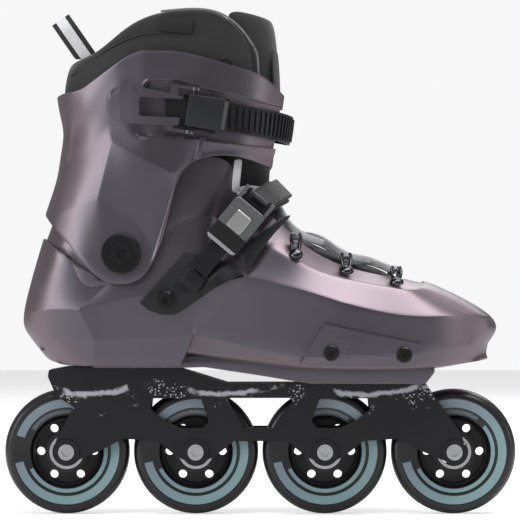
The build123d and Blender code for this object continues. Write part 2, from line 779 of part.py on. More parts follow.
LEVER_COLUMNS = [
    (-42.2, 250.5, 262.2),
    (-53.0, 247.0, 266.5),
    (-71.0, 247.6, 270.5),
    (-77.5, 248.2, 274.6),
    (-84.5, 249.2, 272.6),
    (-90.0, 252.0, 269.5),
    (-92.5, 256.0, 264.5),
]


def make_cuff_lever():
    """Fork-shaped lever round the ladder, with eyes on the pin outside the base's ears."""
    blade = wrap(LEVER_COLUMNS, 4.2, 8.4)
    x0, x1 = -76.0, -30.0
    slot = [at(x0, 253.0), at(x1, 251.0), at(x1, 262.5), at(x0, 265.0)]
    plane = pin_plane()
    blade -= prism_y(slot, -70, -40, 1.5)
    blade -= plane * (Pos(0, 0, 0) * Box(14, 20, 24.9))
    arms = None
    for side in (-1, 1):
        arm = Pos(-5.5, -0.4, side * 13.75) * Box(11.0, 4.2, 2.1) + Pos(0, 0, side * 13.75) * Cylinder(2.9, 2.1)
        arms = arm if arms is None else arms + arm
    link = Pos(-13.0, -0.8, 0) * Box(5.0, 4.0, 29.6) - Pos(-13.0, 0, 0) * Box(9.0, 9.0, 13.0)
    body = blade + plane * (arms + link)
    body -= plane * Cylinder(1.5 + RUNNING_CLEARANCE, 40)
    return body.solids().sort_by(SortBy.VOLUME)[-1]


def make_pawl():
    """Sprung tooth plate that holds the ladder, with a thumb tab in front."""
    plate = Pos(-3.0, 0.4, 0) * Box(8.0, 1.6, 20.0)
    hub = Cylinder(2.0, 20.4)
    tab = Pos(4.6, -1.8, 0) * Rot(0, 0, -24) * Box(9.0, 1.8, 18.0)
    body = Pos(13.5, 0, 0) * (plate + hub + tab)
    body -= Pos(13.5, 0, 0) * Cylinder(1.0 + RUNNING_CLEARANCE, 40)
    return (pin_plane() * body).solids().sort_by(SortBy.VOLUME)[-1]


def ladder_z(angle):
    """Height of the cuff ladder's middle: lower in front."""
    return 245.0 + LIFT + 11.3 * (1 - math.cos(math.radians(angle))) ** 0.8


def make_cuff_ladder():
    """Toothed strap from the outer buckle round the front to its screw on the inner side."""
    start, stop = 92.0, -96.0
    count = 24
    low, high = -LADDER_LOW, -(LADDER_LOW + LADDER_THICK * 0.6)
    body = ladder_sheet(start, stop, count, low, high, 8.8)
    step = (50 + 30) / 21
    for n in range(21):
        angle = 70 - n * step
        body += ladder_sheet(angle, angle - step * 0.5, 1, high + 0.2, -(LADDER_LOW + LADDER_THICK), 7.0)
    body -= cylinder_y(*ANCHOR, SCREW / 2 + 0.1, 0, BOOT_WIDTH)
    return body.solids().sort_by(SortBy.VOLUME)[-1]


def ladder_sheet(start, stop, count, low, high, half):
    outer, inner = [], []
    for n in range(count + 1):
        angle = start + (stop - start) * n / count
        z = ladder_z(abs(angle))
        rows = (-half, 0.0, half)
        outer.append([ring_point(angle, z + r, high) for r in rows])
        inner.append([ring_point(angle, z + r, low) for r in rows])
    return sheet_solid(outer, inner)


def make_cuff_screws():
    made = []
    x, z = CUFF_SCREWS[0]
    y = surface_y(x, z)
    flat = Plane(Vector(x, y - 0.64, z), x_dir=(1, 0, 0), z_dir=(0, -1, 0))
    head = Pos(0, 0, 0.1) * Cylinder(3.6, 0.2) + Pos(0, 0, -2.0) * Cylinder(SCREW / 2, 4.0)
    made.append(flat * head)
    x, z = ANCHOR
    y = -surface_y(x, z) + LADDER_LOW + LADDER_THICK * 0.6 + 0.3
    plane = Plane(Vector(x, y, z), x_dir=(1, 0, 0), z_dir=(0, 1, 0))
    made.append(button_screw(plane, 5.5, SCREW / 2, 6.0, 2.4, 3.0))
    return made


# ---------------------------------------------------------------- instep strap
STRAP_ORIGIN = at(-15.0, 187.6)
STRAP_U = Vector(0.64, 0, 0.768)
STRAP_Y = -47.6 * SY


def strap_plane():
    """X up along the strap, Y across it, Z outward."""
    origin = Vector(STRAP_ORIGIN[0], STRAP_Y, STRAP_ORIGIN[1])
    return Plane(origin, x_dir=STRAP_U, z_dir=Vector(0, -1, 0))


def plate_on_strap(u0, u1, v0, v1, w0, w1, radius=1.0):
    box = Pos((u0 + u1) / 2, (v0 + v1) / 2, (w0 + w1) / 2) * Box(u1 - u0, v1 - v0, w1 - w0)
    if radius:
        box = fillet(box.edges().filter_by(Axis.Z), radius)
    return box


STRAP_BASE = [
    [(-76.0, 135.5), (-64.0, 149.5), (-47.5, 167.5)],
    [(-70.5, 131.0), (-56.0, 146.0), (-40.0, 166.2)],
    [(-62.0, 128.0), (-46.0, 142.5), (-27.0, 163.0)],
    [(-54.5, 128.0), (-37.0, 140.5), (-18.0, 160.0)],
    [(-47.5, 131.5), (-30.0, 144.0), (-10.6, 154.5)],
]


def make_strap_base(side=-1):
    plate = drape(STRAP_BASE, 0.35, 2.3, side)
    x, z = STRAP_SCREW
    reach = side * BOOT_WIDTH
    seat = -side * skin_hit(x, z)[0].Y + side * (SCREW_SEAT - 0.02)
    plate -= cylinder_y(x, z, SCREW / 2 + 0.1, 0, reach)
    plate -= cylinder_y(x, z, 6.1, seat, reach)
    return plate.solids()[0]


def make_instep_ladder():
    """Toothed strap from the base plate up into the buckle."""
    blade = Pos(-18.0, -2.0, 1.0) * Box(44.0, 12.6, 2.0)
    for n in range(15):
        blade += Pos(-37.0 + n * 2.6, -2.0, 2.3) * Box(1.3, 10.4, 0.8)
    return (strap_plane() * blade).solids()[0]


def make_instep_housing():
    """Channel the ladder runs in, with ears for the lever's pin."""
    body = plate_on_strap(-14, 15, -10.4, 6.4, -0.9, 5.0)
    body -= plate_on_strap(-20, 12.5, -8.8, 4.8, -0.3, 3.4, 0)
    body -= plate_on_strap(-4.2, 4.2, -6.2, 2.2, 2.0, 9.0, 0)
    for v in (-9.6, 5.6):
        body += Pos(18.0, v, 3.0) * Box(8.0, 1.6, 5.0)
    body -= Pos(19.5, 0, 3.0) * Rot(90, 0, 0) * Cylinder(1.55, 40)
    return (strap_plane() * body).solids()[0]


def make_instep_pin():
    return strap_plane() * Pos(19.5, -2.0, 3.0) * Rot(90, 0, 0) * Cylinder(1.5, 23.0)


def make_instep_lever():
    """Lever over the housing; its lip lifts outward and its arms turn on the pin."""
    body = plate_on_strap(-19, 13, -13.4, 9.4, 5.3, 9.0, 3.0)
    body = chamfer(body.edges().filter_by(GeomType.LINE).group_by(Axis.Z)[-1], 0.8)
    for v in (-12.2, 8.2):
        body += Pos(14.0, v, 4.8) * Box(15.0, 2.4, 5.0)
        body += Pos(19.5, v, 3.0) * Rot(90, 0, 0) * Cylinder(2.7, 2.4)
    body -= Pos(19.5, 0, 3.0) * Rot(90, 0, 0) * Cylinder(1.5 + RUNNING_CLEARANCE, 40)
    body -= plate_on_strap(-6.6, 6.6, -7.9, 3.9, 4, 10, 1.2)
    return (strap_plane() * body).solids().sort_by(SortBy.VOLUME)[-1]


def make_release_button():
    """Push button in the lever that lifts the pawl off the ladder."""
    cap = plate_on_strap(-6.3, 6.3, -7.6, 3.6, 7.4, 9.6, 1.2)
    cap = chamfer(cap.edges().group_by(Axis.Z)[-1], 0.6)
    stem = plate_on_strap(-3.4, 3.4, -5.4, 1.4, 5.4, 7.5, 0)
    return (strap_plane() * (cap + stem)).solids()[0]


PAD_PATH = [
    (-0.5, -44.5, 198.5),
    (6.5, -34.0, 203.6),
    (11.0, -20.0, 206.4),
    (13.2, -7.0, 207.5),
    (13.2, 7.0, 207.5),
    (11.0, 20.0, 206.4),
    (6.5, 34.0, 203.6),
    (-0.5, 44.5, 198.5),
]


def pad_columns(half, low, high):
    """Cross columns of the instep pad, from its lower edge to its upper edge."""
    top, bottom = [], []
    for x, y, z in PAD_PATH:
        x, z = at(x, z)
        middle = Vector(x, y * SY, z)
        out = Vector(0.75 * (1 - abs(y) / 60), y / 44.5, 0.62 * (1 - abs(y) / 60)).normalized()
        across = Vector(-0.70, 0, 0.714) if abs(y) < 30 else Vector(-0.79, 0, 0.61)
        top.append([middle + across * (half * s) + out * high for s in (-1, 0, 1)])
        bottom.append([middle + across * (half * s) + out * low for s in (-1, 0, 1)])
    return top, bottom


def make_instep_pad():
    """Ribbed pad over the instep."""
    return sheet_solid(*pad_columns(7.6, 0.0, 3.6))


def make_instep_cushion():
    """Soft wider cushion under the pad."""
    return sheet_solid(*pad_columns(9.6, -3.2, -0.3))


def make_inner_strap():
    """Webbing from the pad down to its screw on the inner side of the shell."""
    half = shell_half()
    path = [(-4.0, 194.5), (-12.0, 186.0), (-24.0, 174.0), (-36.0, 162.0), (-48.0, 150.0), (-63.0, 134.5)]
    top, bottom = [], []
    for x, z in path:
        edges = [(x + 5.0 * s, z - 5.0 * s) for s in (-1, 0, 1)]
        hits = [skin_hit(*at(*p), half) for p in edges]
        lift = 1.5 if x < -20 else 3.2
        top.append([to_inner(h[0] + Vector(0, -lift - 1.8, 0)) for h in hits])
        bottom.append([to_inner(h[0] + Vector(0, -lift, 0)) for h in hits])
    strap = sheet_solid(top, bottom)
    x, z = STRAP_SCREW
    strap -= cylinder_y(x, z, SCREW / 2 + 0.1, 0, BOOT_WIDTH)
    strap -= cylinder_y(x, z, 6.1, SCREW_SEAT - 0.02 - skin_hit(x, z, half)[0].Y, BOOT_WIDTH)
    return strap.solids()[0]


def make_strap_screws():
    made = []
    hit = skin_hit(*STRAP_SCREW)
    for side in (-1, 1):
        y = hit[0].Y * (-side) + side * SCREW_SEAT
        plane = Plane(Vector(hit[0].X, y, hit[0].Z), x_dir=(1, 0, 0), z_dir=(0, side, 0))
        made.append(button_screw(plane, 5.9, SCREW / 2, SCREW_SEAT + 2.6, 2.6, 4.0))
    return made


# ---------------------------------------------------------------- guards, hooks, pivots, laces
GUARD = [
    [(24.6, 96.3), (31.5, 108.0), (40.2, 122.5)],
    [(44.4, 96.0), (46.0, 106.0), (52.0, 119.8)],
    [(66.0, 96.0), (68.0, 105.0), (72.0, 115.6)],
    [(90.0, 96.2), (91.0, 103.0), (92.0, 111.6)],
    [(97.5, 96.8), (100.0, 103.0), (102.3, 109.8)],
]


def guard_seat(x, z, side):
    """Y of the flat that a guard screw's head sits on."""
    point = skin_hit(x, z)[0]
    return (to_inner(point) if side > 0 else point).Y + side * 4.4


def make_guards():
    made = []
    for side in (-1, 1):
        plate = drape(GUARD, 0.15, 3.6, side)
        for x, z in GUARD_SCREWS:
            plate -= cylinder_y(x, z, SCREW / 2 + 0.1, 0, side * BOOT_WIDTH)
            plate -= cylinder_y(x, z, 5.3, guard_seat(x, z, side) - side * 0.02, side * BOOT_WIDTH)
        made.append(plate.solids()[0])
    return made


def make_guard_screws():
    made = []
    for side in (-1, 1):
        for x, z in GUARD_SCREWS:
            plane = Plane(Vector(x, guard_seat(x, z, side), z), x_dir=(1, 0, 0), z_dir=(0, side, 0))
            made.append(button_screw(plane, 5.0, SCREW / 2, 6.2, 2.2, 3.0))
    return made


def hook_plane(x, z, side):
    """Placement of a lace hook: Y runs up the skin to the throat, Z points out, clear of the skin."""
    half = shell_half()
    hit = skin_hit(x, z, half)
    up = on_side(hit).from_local_coords(Vector(0, HOOK_LENGTH, 0))
    far = skin_hit(up.X, up.Z, half) or hit
    foot, head = hit[0], far[0]
    if side > 0:
        foot, head = to_inner(foot), to_inner(head)
    y_dir = (head - foot).normalized()
    x_dir = Vector(-side, 0, 0)
    x_dir = (x_dir - y_dir * x_dir.dot(y_dir)).normalized()
    placed = Plane(foot, x_dir=x_dir, z_dir=x_dir.cross(y_dir))
    rise = 0.0
    tries = [(dx, t) for dx in (-4.0, 0.0, 4.0) for t in (-4.0, 0.0, 4.0, 8.0, HOOK_LENGTH)]
    for dx, dy in tries:
        q = placed.from_local_coords(Vector(dx, dy, 0))
        outer = q if side < 0 else to_inner(q)
        hit = skin_hit(outer.X, outer.Z, half)
        if hit:
            skin = hit[0] if side < 0 else to_inner(hit[0])
            rise = max(rise, placed.to_local_coords(skin).Z)
    return placed.offset(rise)


def make_hooks():
    """Riveted lace hooks: a disc with an open loop of wire above it."""
    made = []
    for side in (-1, 1):
        for x, z in LACE_HOOKS:
            plane = hook_plane(x, z, side)
            disc = Pos(0, 0, 0.95) * Cylinder(4.4, 1.5)
            tab = Pos(0, 6.0, 0.9) * Box(6.4, 9.0, 1.4)
            loop = Pos(0, 9.0, 3.6) * Rot(90, 0, 90) * Torus(2.7, 0.9)
            made.append((plane * (disc + tab + loop)).solids()[0])
    return made


def make_eyelets():
    made = []
    half = cavity(SHELL_WALL)
    y_out = skin_hit(*LACE_EYELET)[0].Y
    y_in = skin_hit(*LACE_EYELET, half[: len(half) // 2 + 1])[0].Y
    x, z = LACE_EYELET
    for side in (-1, 1):
        a, b = -side * (y_out + EYELET_SEAT - 0.05), -side * (y_in - 1.6)
        ring = cylinder_y(x, z, 3.15, a, b) + cylinder_y(x, z, 4.9, a, a + side * 1.6)
        ring -= cylinder_y(x, z, 2.3, -BOOT_WIDTH, BOOT_WIDTH)
        made.append(ring.solids()[0])
    return made


def make_pivot_bolts():
    """Shoulder bolts the cuff swings on, fixed in the shell's walls."""
    x, z = PIVOT
    half = cavity(SHELL_WALL)
    y_in = skin_hit(x, z, half[: len(half) // 2 + 1])[0].Y
    y_cap = surface_y(x, z)
    made = []
    for side in (-1, 1):
        bolt = cylinder_y(x, z, PIVOT_BOLT / 2, -side * (y_in - 0.6), -side * (y_cap - 2.2))
        head = cylinder_y(x, z, 7.5, -side * (y_cap - 2.2), -side * (y_cap - 4.2))
        socket = Plane(Vector(x, -side * (y_cap - 2.9), z), x_dir=(1, 0, 0), z_dir=(0, side, 0)) * hex_socket(5.0, 3)
        made.append((bolt + head - socket).solids()[0])
    return made


def make_pivot_caps():
    """Round cover rings under the pivot bolts' heads."""
    x, z = PIVOT
    y_cap = surface_y(x, z)
    made = []
    for side in (-1, 1):
        ring = cylinder_y(x, z, PIVOT_CAP / 2, -side * (y_cap - 0.5), -side * (y_cap - 3.4))
        ring = chamfer(ring.edges().sort_by(Axis.Y)[-1 if side > 0 else 0], 0.8)
        ring -= cylinder_y(x, z, 7.6, -side * (y_cap - 2.15), -side * (y_cap - 8))
        ring -= cylinder_y(x, z, PIVOT_BOLT / 2 + 0.02, -side * y_cap, -side * (y_cap - 8))
        made.append(ring.solids()[0])
    return made


LACE_RADIUS = 1.4


def hook_place(n, side):
    """Where the lace passes round hook n."""
    return hook_plane(*LACE_HOOKS[n], side).from_local_coords(Vector(0, 14.9, 3.8))


def lace_points():
    """Corners of the lace: outer eyelet, zigzag to the toe, zigzag back, inner eyelet."""
    x, z = LACE_EYELET
    y = skin_hit(x, z)[0].Y - 3.8
    over_x, over_z = at(-6.0, 208.8)
    over = Vector(over_x, -33.5 * SY, over_z)
    stops = [over, hook_place(0, 1), hook_place(1, -1), hook_place(2, 1)]
    stops += [hook_place(2, -1), hook_place(1, 1), hook_place(0, -1), mirrored(over)]
    points = [Vector(x, y, z)]
    for n, (a, b) in enumerate(zip(stops, stops[1:])):
        points.append(a)
        middle = between(a, b, 0.5)
        top = tongue_height(middle.X / SX) + LIFT + 3.7 + (3.2 if n in (0, 1, 2) else 0.0)
        points.append(Vector(middle.X, middle.Y, max(middle.Z + 2.0, top)))
    return points + [stops[-1], Vector(x, -y, z)]


def make_lace():
    points = lace_points()
    path = FilletPolyline(*points, radius=LACE_RADIUS * 3)
    start = path.edges()[0]
    profile = Plane(start @ 0, z_dir=start % 0) * Circle(LACE_RADIUS)
    return sweep(profile, path).solids()[0]


# ---------------------------------------------------------------- frame, wheels and bearings
SP = WHEEL_PITCH / 82.5
RAIL_LOW = AXLE_Z + 8.6
DECK_LOW = DECK_Z - 9.4
WINDOW_LOW = AXLE_Z + 15.5


def frame_outline():
    """Side outline of the frame: deck, then the front leg, the scalloped rail and the rear leg."""
    last = AXLE_XS[-1]
    line = [
        (-134.9 * SP, HEEL_Z - 2.0),
        (-124.3 * SP, HEEL_Z),
        (-54.0 * SP, HEEL_Z),
        (-21.0 * SP, DECK_Z),
        (105.5 * SP, DECK_Z),
        (111.2 * SP, DECK_Z - 8.3),
        (last + 4.2, AXLE_Z + 12.2),
        (last + 8.0, AXLE_Z),
        (last, AXLE_Z - 8.3),
    ]
    for x in reversed(AXLE_XS[1:]):
        left = x - WHEEL_PITCH
        line += [(x - 22.2, AXLE_Z + 1.3), (x - 36.0, RAIL_LOW)] if x == last else []
        line += [(x - 11.8, AXLE_Z - 2.9), (x - 24.4, AXLE_Z + 7.1)] if x != last else []
        line += [(left + 24.4, AXLE_Z + 7.1), (left + 11.8, AXLE_Z - 2.9)] if left > AXLE_XS[0] + 1 else []
        line += [(left + 36.0, RAIL_LOW), (left + 22.2, AXLE_Z + 1.3)] if left < AXLE_XS[0] + 1 else []
        line.append((left, AXLE_Z - 8.3))
    line += [
        (-last - 8.0, AXLE_Z),
        (-last - 6.1, AXLE_Z + 8.6),
        (-119.3 * SP, DECK_Z - 15.1),
        (-130.4 * SP, HEEL_Z - 18.0),
        (-135.5 * SP, HEEL_Z - 6.0),
    ]
    return line


def frame_windows():
    side = [
        (-69.2, DECK_LOW - 0.2),
        (-37.9, DECK_LOW - 0.2),
        (-32.8, WINDOW_LOW + 4.0),
        (-36.6, WINDOW_LOW),
        (-50.0, WINDOW_LOW),
        (-60.9, WINDOW_LOW + 4.6),
        (-69.9, DECK_LOW - 7.2),
    ]
    middle = [(-21.8, DECK_LOW), (21.8, DECK_LOW), (10.5, WINDOW_LOW), (-10.5, WINDOW_LOW)]
    shapes = [side, [(-x, z) for x, z in reversed(side)], middle]
    return [[(x * SP, z) for x, z in shape] for shape in shapes]


def make_frame():
    body = prism_y(frame_outline(), -WALL_OUT, WALL_OUT)
    channel = [
        (-160 * SP, HEEL_Z - FRAME_DECK),
        (-54.9 * SP, HEEL_Z - FRAME_DECK),
        (-21.9 * SP, DECK_Z - FRAME_DECK),
        (160 * SP, DECK_Z - FRAME_DECK),
        (160 * SP, 0),
        (-160 * SP, 0),
    ]
    body -= prism_y(channel, -WALL_IN, WALL_IN)
    for shape in frame_windows():
        body -= prism_y(shape, -60, 60, 2.0)
    for x in AXLE_XS:
        for side in (-1, 1):
            body += cylinder_y(x, AXLE_Z, 5.8, side * (HUB_HALF + 0.03), side * (WALL_IN + 0.5))
            body += cylinder_y(x, AXLE_Z, 8.3, side * (WALL_IN + 0.4), side * (WALL_OUT + 1.4))
            body -= cylinder_y(x, AXLE_Z, 5.3, side * (WALL_OUT + 0.2), side * (WALL_OUT + 9))
        body -= cylinder_y(x, AXLE_Z, BEARING_BORE / 2 + FIT_CLEARANCE, -60, 60)
    for x in BOLT_XS:
        body -= cylinder_z(x, 0, MOUNT_BOLT / 2 + 0.3, 60, HEEL_Z + 5)
    return body.solids().sort_by(SortBy.VOLUME)[-1]


def deck_under(x):
    return (HEEL_Z if x < 0 else DECK_Z) - FRAME_DECK


def make_mount_washers():
    made = []
    for x in BOLT_XS:
        low = deck_under(x) - 1.6
        made.append(cylinder_z(x, 0, 8.0, low, low + 1.6) - cylinder_z(x, 0, MOUNT_BOLT / 2 + 0.2, 0, 200))
    return made


def make_mount_bolts():
    made = []
    for x in BOLT_XS:
        seat = deck_under(x) - 1.6
        plane = Plane(Vector(x, 0, seat), x_dir=(1, 0, 0), z_dir=(0, 0, -1))
        made.append(button_screw(plane, 5.3, MOUNT_BOLT / 2, floor_z(x) - 0.6 - seat, 3.3, 4.0))
    return made


def make_axles():
    """Two-part axles: a headed sleeve from the outer side, a screw into it from the inner side."""
    sleeves, screws = [], []
    for x in AXLE_XS:
        seat = WALL_OUT + 0.2
        sleeve = cylinder_y(x, AXLE_Z, BEARING_BORE / 2, -seat, WALL_OUT - 0.3)
        sleeve += cylinder_y(x, AXLE_Z, 5.1, -seat, -seat - 2.4)
        plane = Plane(Vector(x, -seat - 0.3, AXLE_Z), x_dir=(1, 0, 0), z_dir=(0, -1, 0))
        sleeve -= plane * hex_socket(5.0, 4)
        sleeve -= cylinder_y(x, AXLE_Z, 2.52, 4.0, 30)
        screw = cylinder_y(x, AXLE_Z, 2.5, 6.0, seat + 0.5) + cylinder_y(x, AXLE_Z, 5.1, seat, seat + 2.4)
        plane = Plane(Vector(x, seat + 0.3, AXLE_Z), x_dir=(1, 0, 0), z_dir=(0, 1, 0))
        screw -= plane * hex_socket(4.0, 4)
        sleeves.append(sleeve.solids()[0])
        screws.append(screw.solids()[0])
    return sleeves, screws


def turned(profile, x):
    """A closed (radius, y) profile revolved round the axle at x."""
    face = make_face(Polyline(*profile, close=True).edges())
    return Pos(x, 0, AXLE_Z) * revolve(face, Axis.Y, 360)


HUB_RADIUS = 22.6


def make_tyre(x):
    """Urethane tyre with a rounded running surface and flat printed sides."""
    r, w = WHEEL_RADIUS, WHEEL_WIDTH / 2
    low = HUB_RADIUS + 0.02
    right = [(low, -8.0), (low, 8.0), (low + 0.8, w - 1.4), (r * 0.86, w)]
    arc = []
    for n in range(1, 12):
        a = math.pi / 2 - n * math.pi / 12
        arc.append((r * 0.86 + r * 0.14 * math.cos(a) ** 0.8, w * math.copysign(abs(math.sin(a)) ** 0.8, math.sin(a))))
    left = [(r * 0.86, -w), (low + 0.8, -w + 1.4)]
    return turned(right + arc + left, x)


def make_hub(x):
    """Spoked core with a bearing seat on each side."""
    r = HUB_RADIUS
    seat = BEARING_OUTSIDE / 2 + FIT_CLEARANCE
    half = SPACER_LENGTH / 2
    profile = [
        (9.0, half),
        (seat, half),
        (seat, HUB_HALF - 0.1),
        (13.6, HUB_HALF - 0.1),
        (13.8, 4.0),
        (r - 2.6, 4.0),
        (r - 2.2, 9.6),
        (r, 7.9),
    ]
    profile += [(a, -b) for a, b in reversed(profile)]
    body = turned(profile, x)
    count = 6
    for n in range(count):
        a = 2 * math.pi * n / count
        reach = (13.8 + r - 2.6) / 2
        body -= cylinder_y(x + reach * math.cos(a), AXLE_Z + reach * math.sin(a), (r - 17.2) / 2, -30, 30)
    return body.solids()[0]


BALL_PITCH = (BEARING_BORE + BEARING_OUTSIDE) / 4  # radius of the balls' circle


def bearing_places(x):
    middle = SPACER_LENGTH / 2 + BEARING_WIDTH / 2
    return [Pos(x, -middle, AXLE_Z), Pos(x, middle, AXLE_Z)]


def make_bearing_set(x):
    """Outer races, balls and cages of one wheel's two bearings."""
    groove = Rot(90, 0, 0) * Torus(BALL_PITCH, BALL_DIAMETER / 2 + 0.03)
    tube = Rot(90, 0, 0) * (Cylinder(BEARING_OUTSIDE / 2, BEARING_WIDTH) - Cylinder(9.1, 20))
    race = tube - groove
    ball = Sphere(BALL_DIAMETER / 2)
    places = [2 * math.pi * n / BALLS_PER_BEARING for n in range(BALLS_PER_BEARING)]
    cage = Rot(90, 0, 0) * (Cylinder(BALL_PITCH + 0.5, 3.0) - Cylinder(BALL_PITCH - 0.5, 20))
    for a in places:
        spot = Pos(BALL_PITCH * math.cos(a), 0, BALL_PITCH * math.sin(a))
        cage -= spot * Sphere(BALL_DIAMETER / 2 + 0.08)
    cage += Rot(90, 0, 0) * (Pos(0, 0, 2.1) * (Cylinder(BALL_PITCH + 0.5, 1.2) - Cylinder(BALL_PITCH - 0.5, 20)))
    cage -= groove_pockets(places)
    cage = cage.solids().sort_by(SortBy.VOLUME)[-1]
    races, balls, cages = [], [], []
    for place in bearing_places(x):
        races.append(place * race)
        cages.append(place * cage)
        for a in places:
            balls.append(place * Pos(BALL_PITCH * math.cos(a), 0, BALL_PITCH * math.sin(a)) * ball)
    return races, balls, cages


def groove_pockets(places):
    cut = None
    for a in places:
        spot = Pos(BALL_PITCH * math.cos(a), 0, BALL_PITCH * math.sin(a)) * Sphere(BALL_DIAMETER / 2 + 0.08)
        cut = spot if cut is None else cut + spot
    return cut


def make_inner_races():
    groove = Rot(90, 0, 0) * Torus(BALL_PITCH, BALL_DIAMETER / 2 + 0.03)
    race = Rot(90, 0, 0) * (Cylinder(5.9, BEARING_WIDTH) - Cylinder(BEARING_BORE / 2 + FIT_CLEARANCE, 20)) - groove
    return [place * race for x in AXLE_XS for place in bearing_places(x)]


def make_spacers():
    length = SPACER_LENGTH - 0.04
    tube = Rot(90, 0, 0) * (Cylinder(5.6, length) - Cylinder(BEARING_BORE / 2 + FIT_CLEARANCE, 40))
    return [Pos(x, 0, AXLE_Z) * tube for x in AXLE_XS]


# ---------------------------------------------------------------- writing the files
def export(name, shape):
    pieces = shape if isinstance(shape, list) else [shape]
    solids = [s for piece in pieces for s in piece.solids()]
    whole = solids[0] if len(solids) == 1 else Compound(children=solids)
    export_step(whole, f"parts/{name}.step")
    print(name, len(solids), round(sum(s.volume for s in solids)), all(s.is_valid for s in solids))


def main():
    os.makedirs("parts", exist_ok=True)
    export("shell", make_shell(shell_skin()))
    export("mount_plates", make_mount_plates())
    export("mount_bolts", make_mount_bolts())
    export("mount_washers", make_mount_washers())
    export("liner_boot", make_liner_boot())
    export("footbed", make_footbed() - shock_pad_box(0.1))
    export("shock_pad", shock_pad_box(0.0))
    export("tongue_lower", make_tongue_lower())
    export("lace", make_lace())
    export("lace_hooks", make_hooks())
    export("lace_eyelets", make_eyelets())
    export("side_guards", make_guards())
    export("guard_screws", make_guard_screws())
    export("instep_base", make_strap_base())
    export("instep_ladder", make_instep_ladder())
    export("instep_housing", make_instep_housing())
    export("instep_pin", make_instep_pin())
    export("instep_lever", make_instep_lever())
    export("instep_button", make_release_button())
    export("instep_pad", make_instep_pad())
    export("instep_cushion", make_instep_cushion())
    export("inner_strap", make_inner_strap())
    export("strap_screws", make_strap_screws())
    export("pivot_bolts", make_pivot_bolts())
    export("pivot_caps", make_pivot_caps())
    export("cuff", make_cuff())
    export("collar", make_collar())
    export("tongue_upper", make_tongue_upper())
    export("pull_loop", make_pull_loop())
    export("cuff_base", make_cuff_base())
    export("cuff_pins", make_cuff_pins())
    export("cuff_lever", make_cuff_lever())
    export("cuff_pawl", make_pawl())
    export("cuff_ladder", make_cuff_ladder())
    export("cuff_screws", make_cuff_screws())
    export("frame", make_frame())
    sleeves, screws = make_axles()
    export("axles", sleeves)
    export("axle_screws", screws)
    export("inner_races", make_inner_races())
    export("spacers", make_spacers())
    for n, x in enumerate(AXLE_XS, 1):
        races, balls, cages = make_bearing_set(x)
        export(f"tyre_{n}", make_tyre(x))
        export(f"hub_{n}", make_hub(x))
        export(f"outer_races_{n}", races)
        export(f"balls_{n}", balls)
        export(f"cages_{n}", cages)


if __name__ == "__main__":
    main()
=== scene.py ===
"""Right-foot inline skate: smooth boot, cuff, liner, straps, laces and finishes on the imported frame."""

import math

import bmesh
import bpy
from mathutils import Matrix, Vector
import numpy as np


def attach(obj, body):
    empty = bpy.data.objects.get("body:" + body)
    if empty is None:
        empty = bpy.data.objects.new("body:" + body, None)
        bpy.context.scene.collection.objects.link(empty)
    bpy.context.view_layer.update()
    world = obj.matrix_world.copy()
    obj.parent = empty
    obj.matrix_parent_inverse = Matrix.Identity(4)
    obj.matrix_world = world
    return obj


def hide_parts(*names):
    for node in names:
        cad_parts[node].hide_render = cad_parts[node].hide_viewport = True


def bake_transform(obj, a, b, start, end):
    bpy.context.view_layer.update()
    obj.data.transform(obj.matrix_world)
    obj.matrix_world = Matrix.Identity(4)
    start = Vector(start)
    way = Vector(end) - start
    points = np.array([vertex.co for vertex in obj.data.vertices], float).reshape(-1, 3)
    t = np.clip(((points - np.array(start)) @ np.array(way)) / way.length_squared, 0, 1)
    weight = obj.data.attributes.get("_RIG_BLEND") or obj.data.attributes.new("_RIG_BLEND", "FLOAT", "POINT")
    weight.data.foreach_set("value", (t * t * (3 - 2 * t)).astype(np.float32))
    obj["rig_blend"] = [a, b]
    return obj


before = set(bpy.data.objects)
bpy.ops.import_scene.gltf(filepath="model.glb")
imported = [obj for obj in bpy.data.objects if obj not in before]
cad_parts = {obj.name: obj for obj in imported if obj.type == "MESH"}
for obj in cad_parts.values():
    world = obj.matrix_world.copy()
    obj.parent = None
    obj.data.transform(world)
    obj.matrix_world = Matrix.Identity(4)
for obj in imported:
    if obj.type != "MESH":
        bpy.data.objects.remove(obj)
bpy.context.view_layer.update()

bl_info = {
    "name": "Inline skate",
    "version": (1, 0, 0),
    "blender": (4, 5, 0),
    "location": "3D View > Sidebar > Skate",
    "description": "Builds an urban inline skate, piece by piece, on its mechanical frame",
    "category": "Add Mesh",
}

MM = 0.001


class SkateSettings(bpy.types.PropertyGroup):
    shell_colour: bpy.props.FloatVectorProperty(
        name="Shell colour", description="Colour of the shell and cuff plastic", subtype="COLOR",
        size=3, min=0, max=1, default=(0.200, 0.160, 0.178))
    liner_colour: bpy.props.FloatVectorProperty(
        name="Liner colour", description="Colour of the liner's cloth", subtype="COLOR",
        size=3, min=0, max=1, default=(0.012, 0.012, 0.013))
    ring_colour: bpy.props.FloatVectorProperty(
        name="Wheel ring colour", description="Colour of the ring printed on each wheel", subtype="COLOR",
        size=3, min=0, max=1, default=(0.22, 0.34, 0.36))
    shell_wall: bpy.props.FloatProperty(
        name="Shell wall", description="Thickness the shell is drawn with, half of its real wall",
        subtype="DISTANCE", unit="LENGTH", default=0.0015)
    cuff_wall: bpy.props.FloatProperty(
        name="Cuff wall", description="Thickness the cuff is drawn with, half of its real wall",
        subtype="DISTANCE", unit="LENGTH", default=0.00175)
    collar_padding: bpy.props.FloatProperty(
        name="Collar padding", description="Thickness of the padded collar", subtype="DISTANCE",
        unit="LENGTH", default=0.007)
    lace_width: bpy.props.FloatProperty(
        name="Lace width", description="Width of the flat lace", subtype="DISTANCE",
        unit="LENGTH", default=0.005)


def settings():
    """The sizes and colours that a user can change."""
    return bpy.context.scene.skate_settings


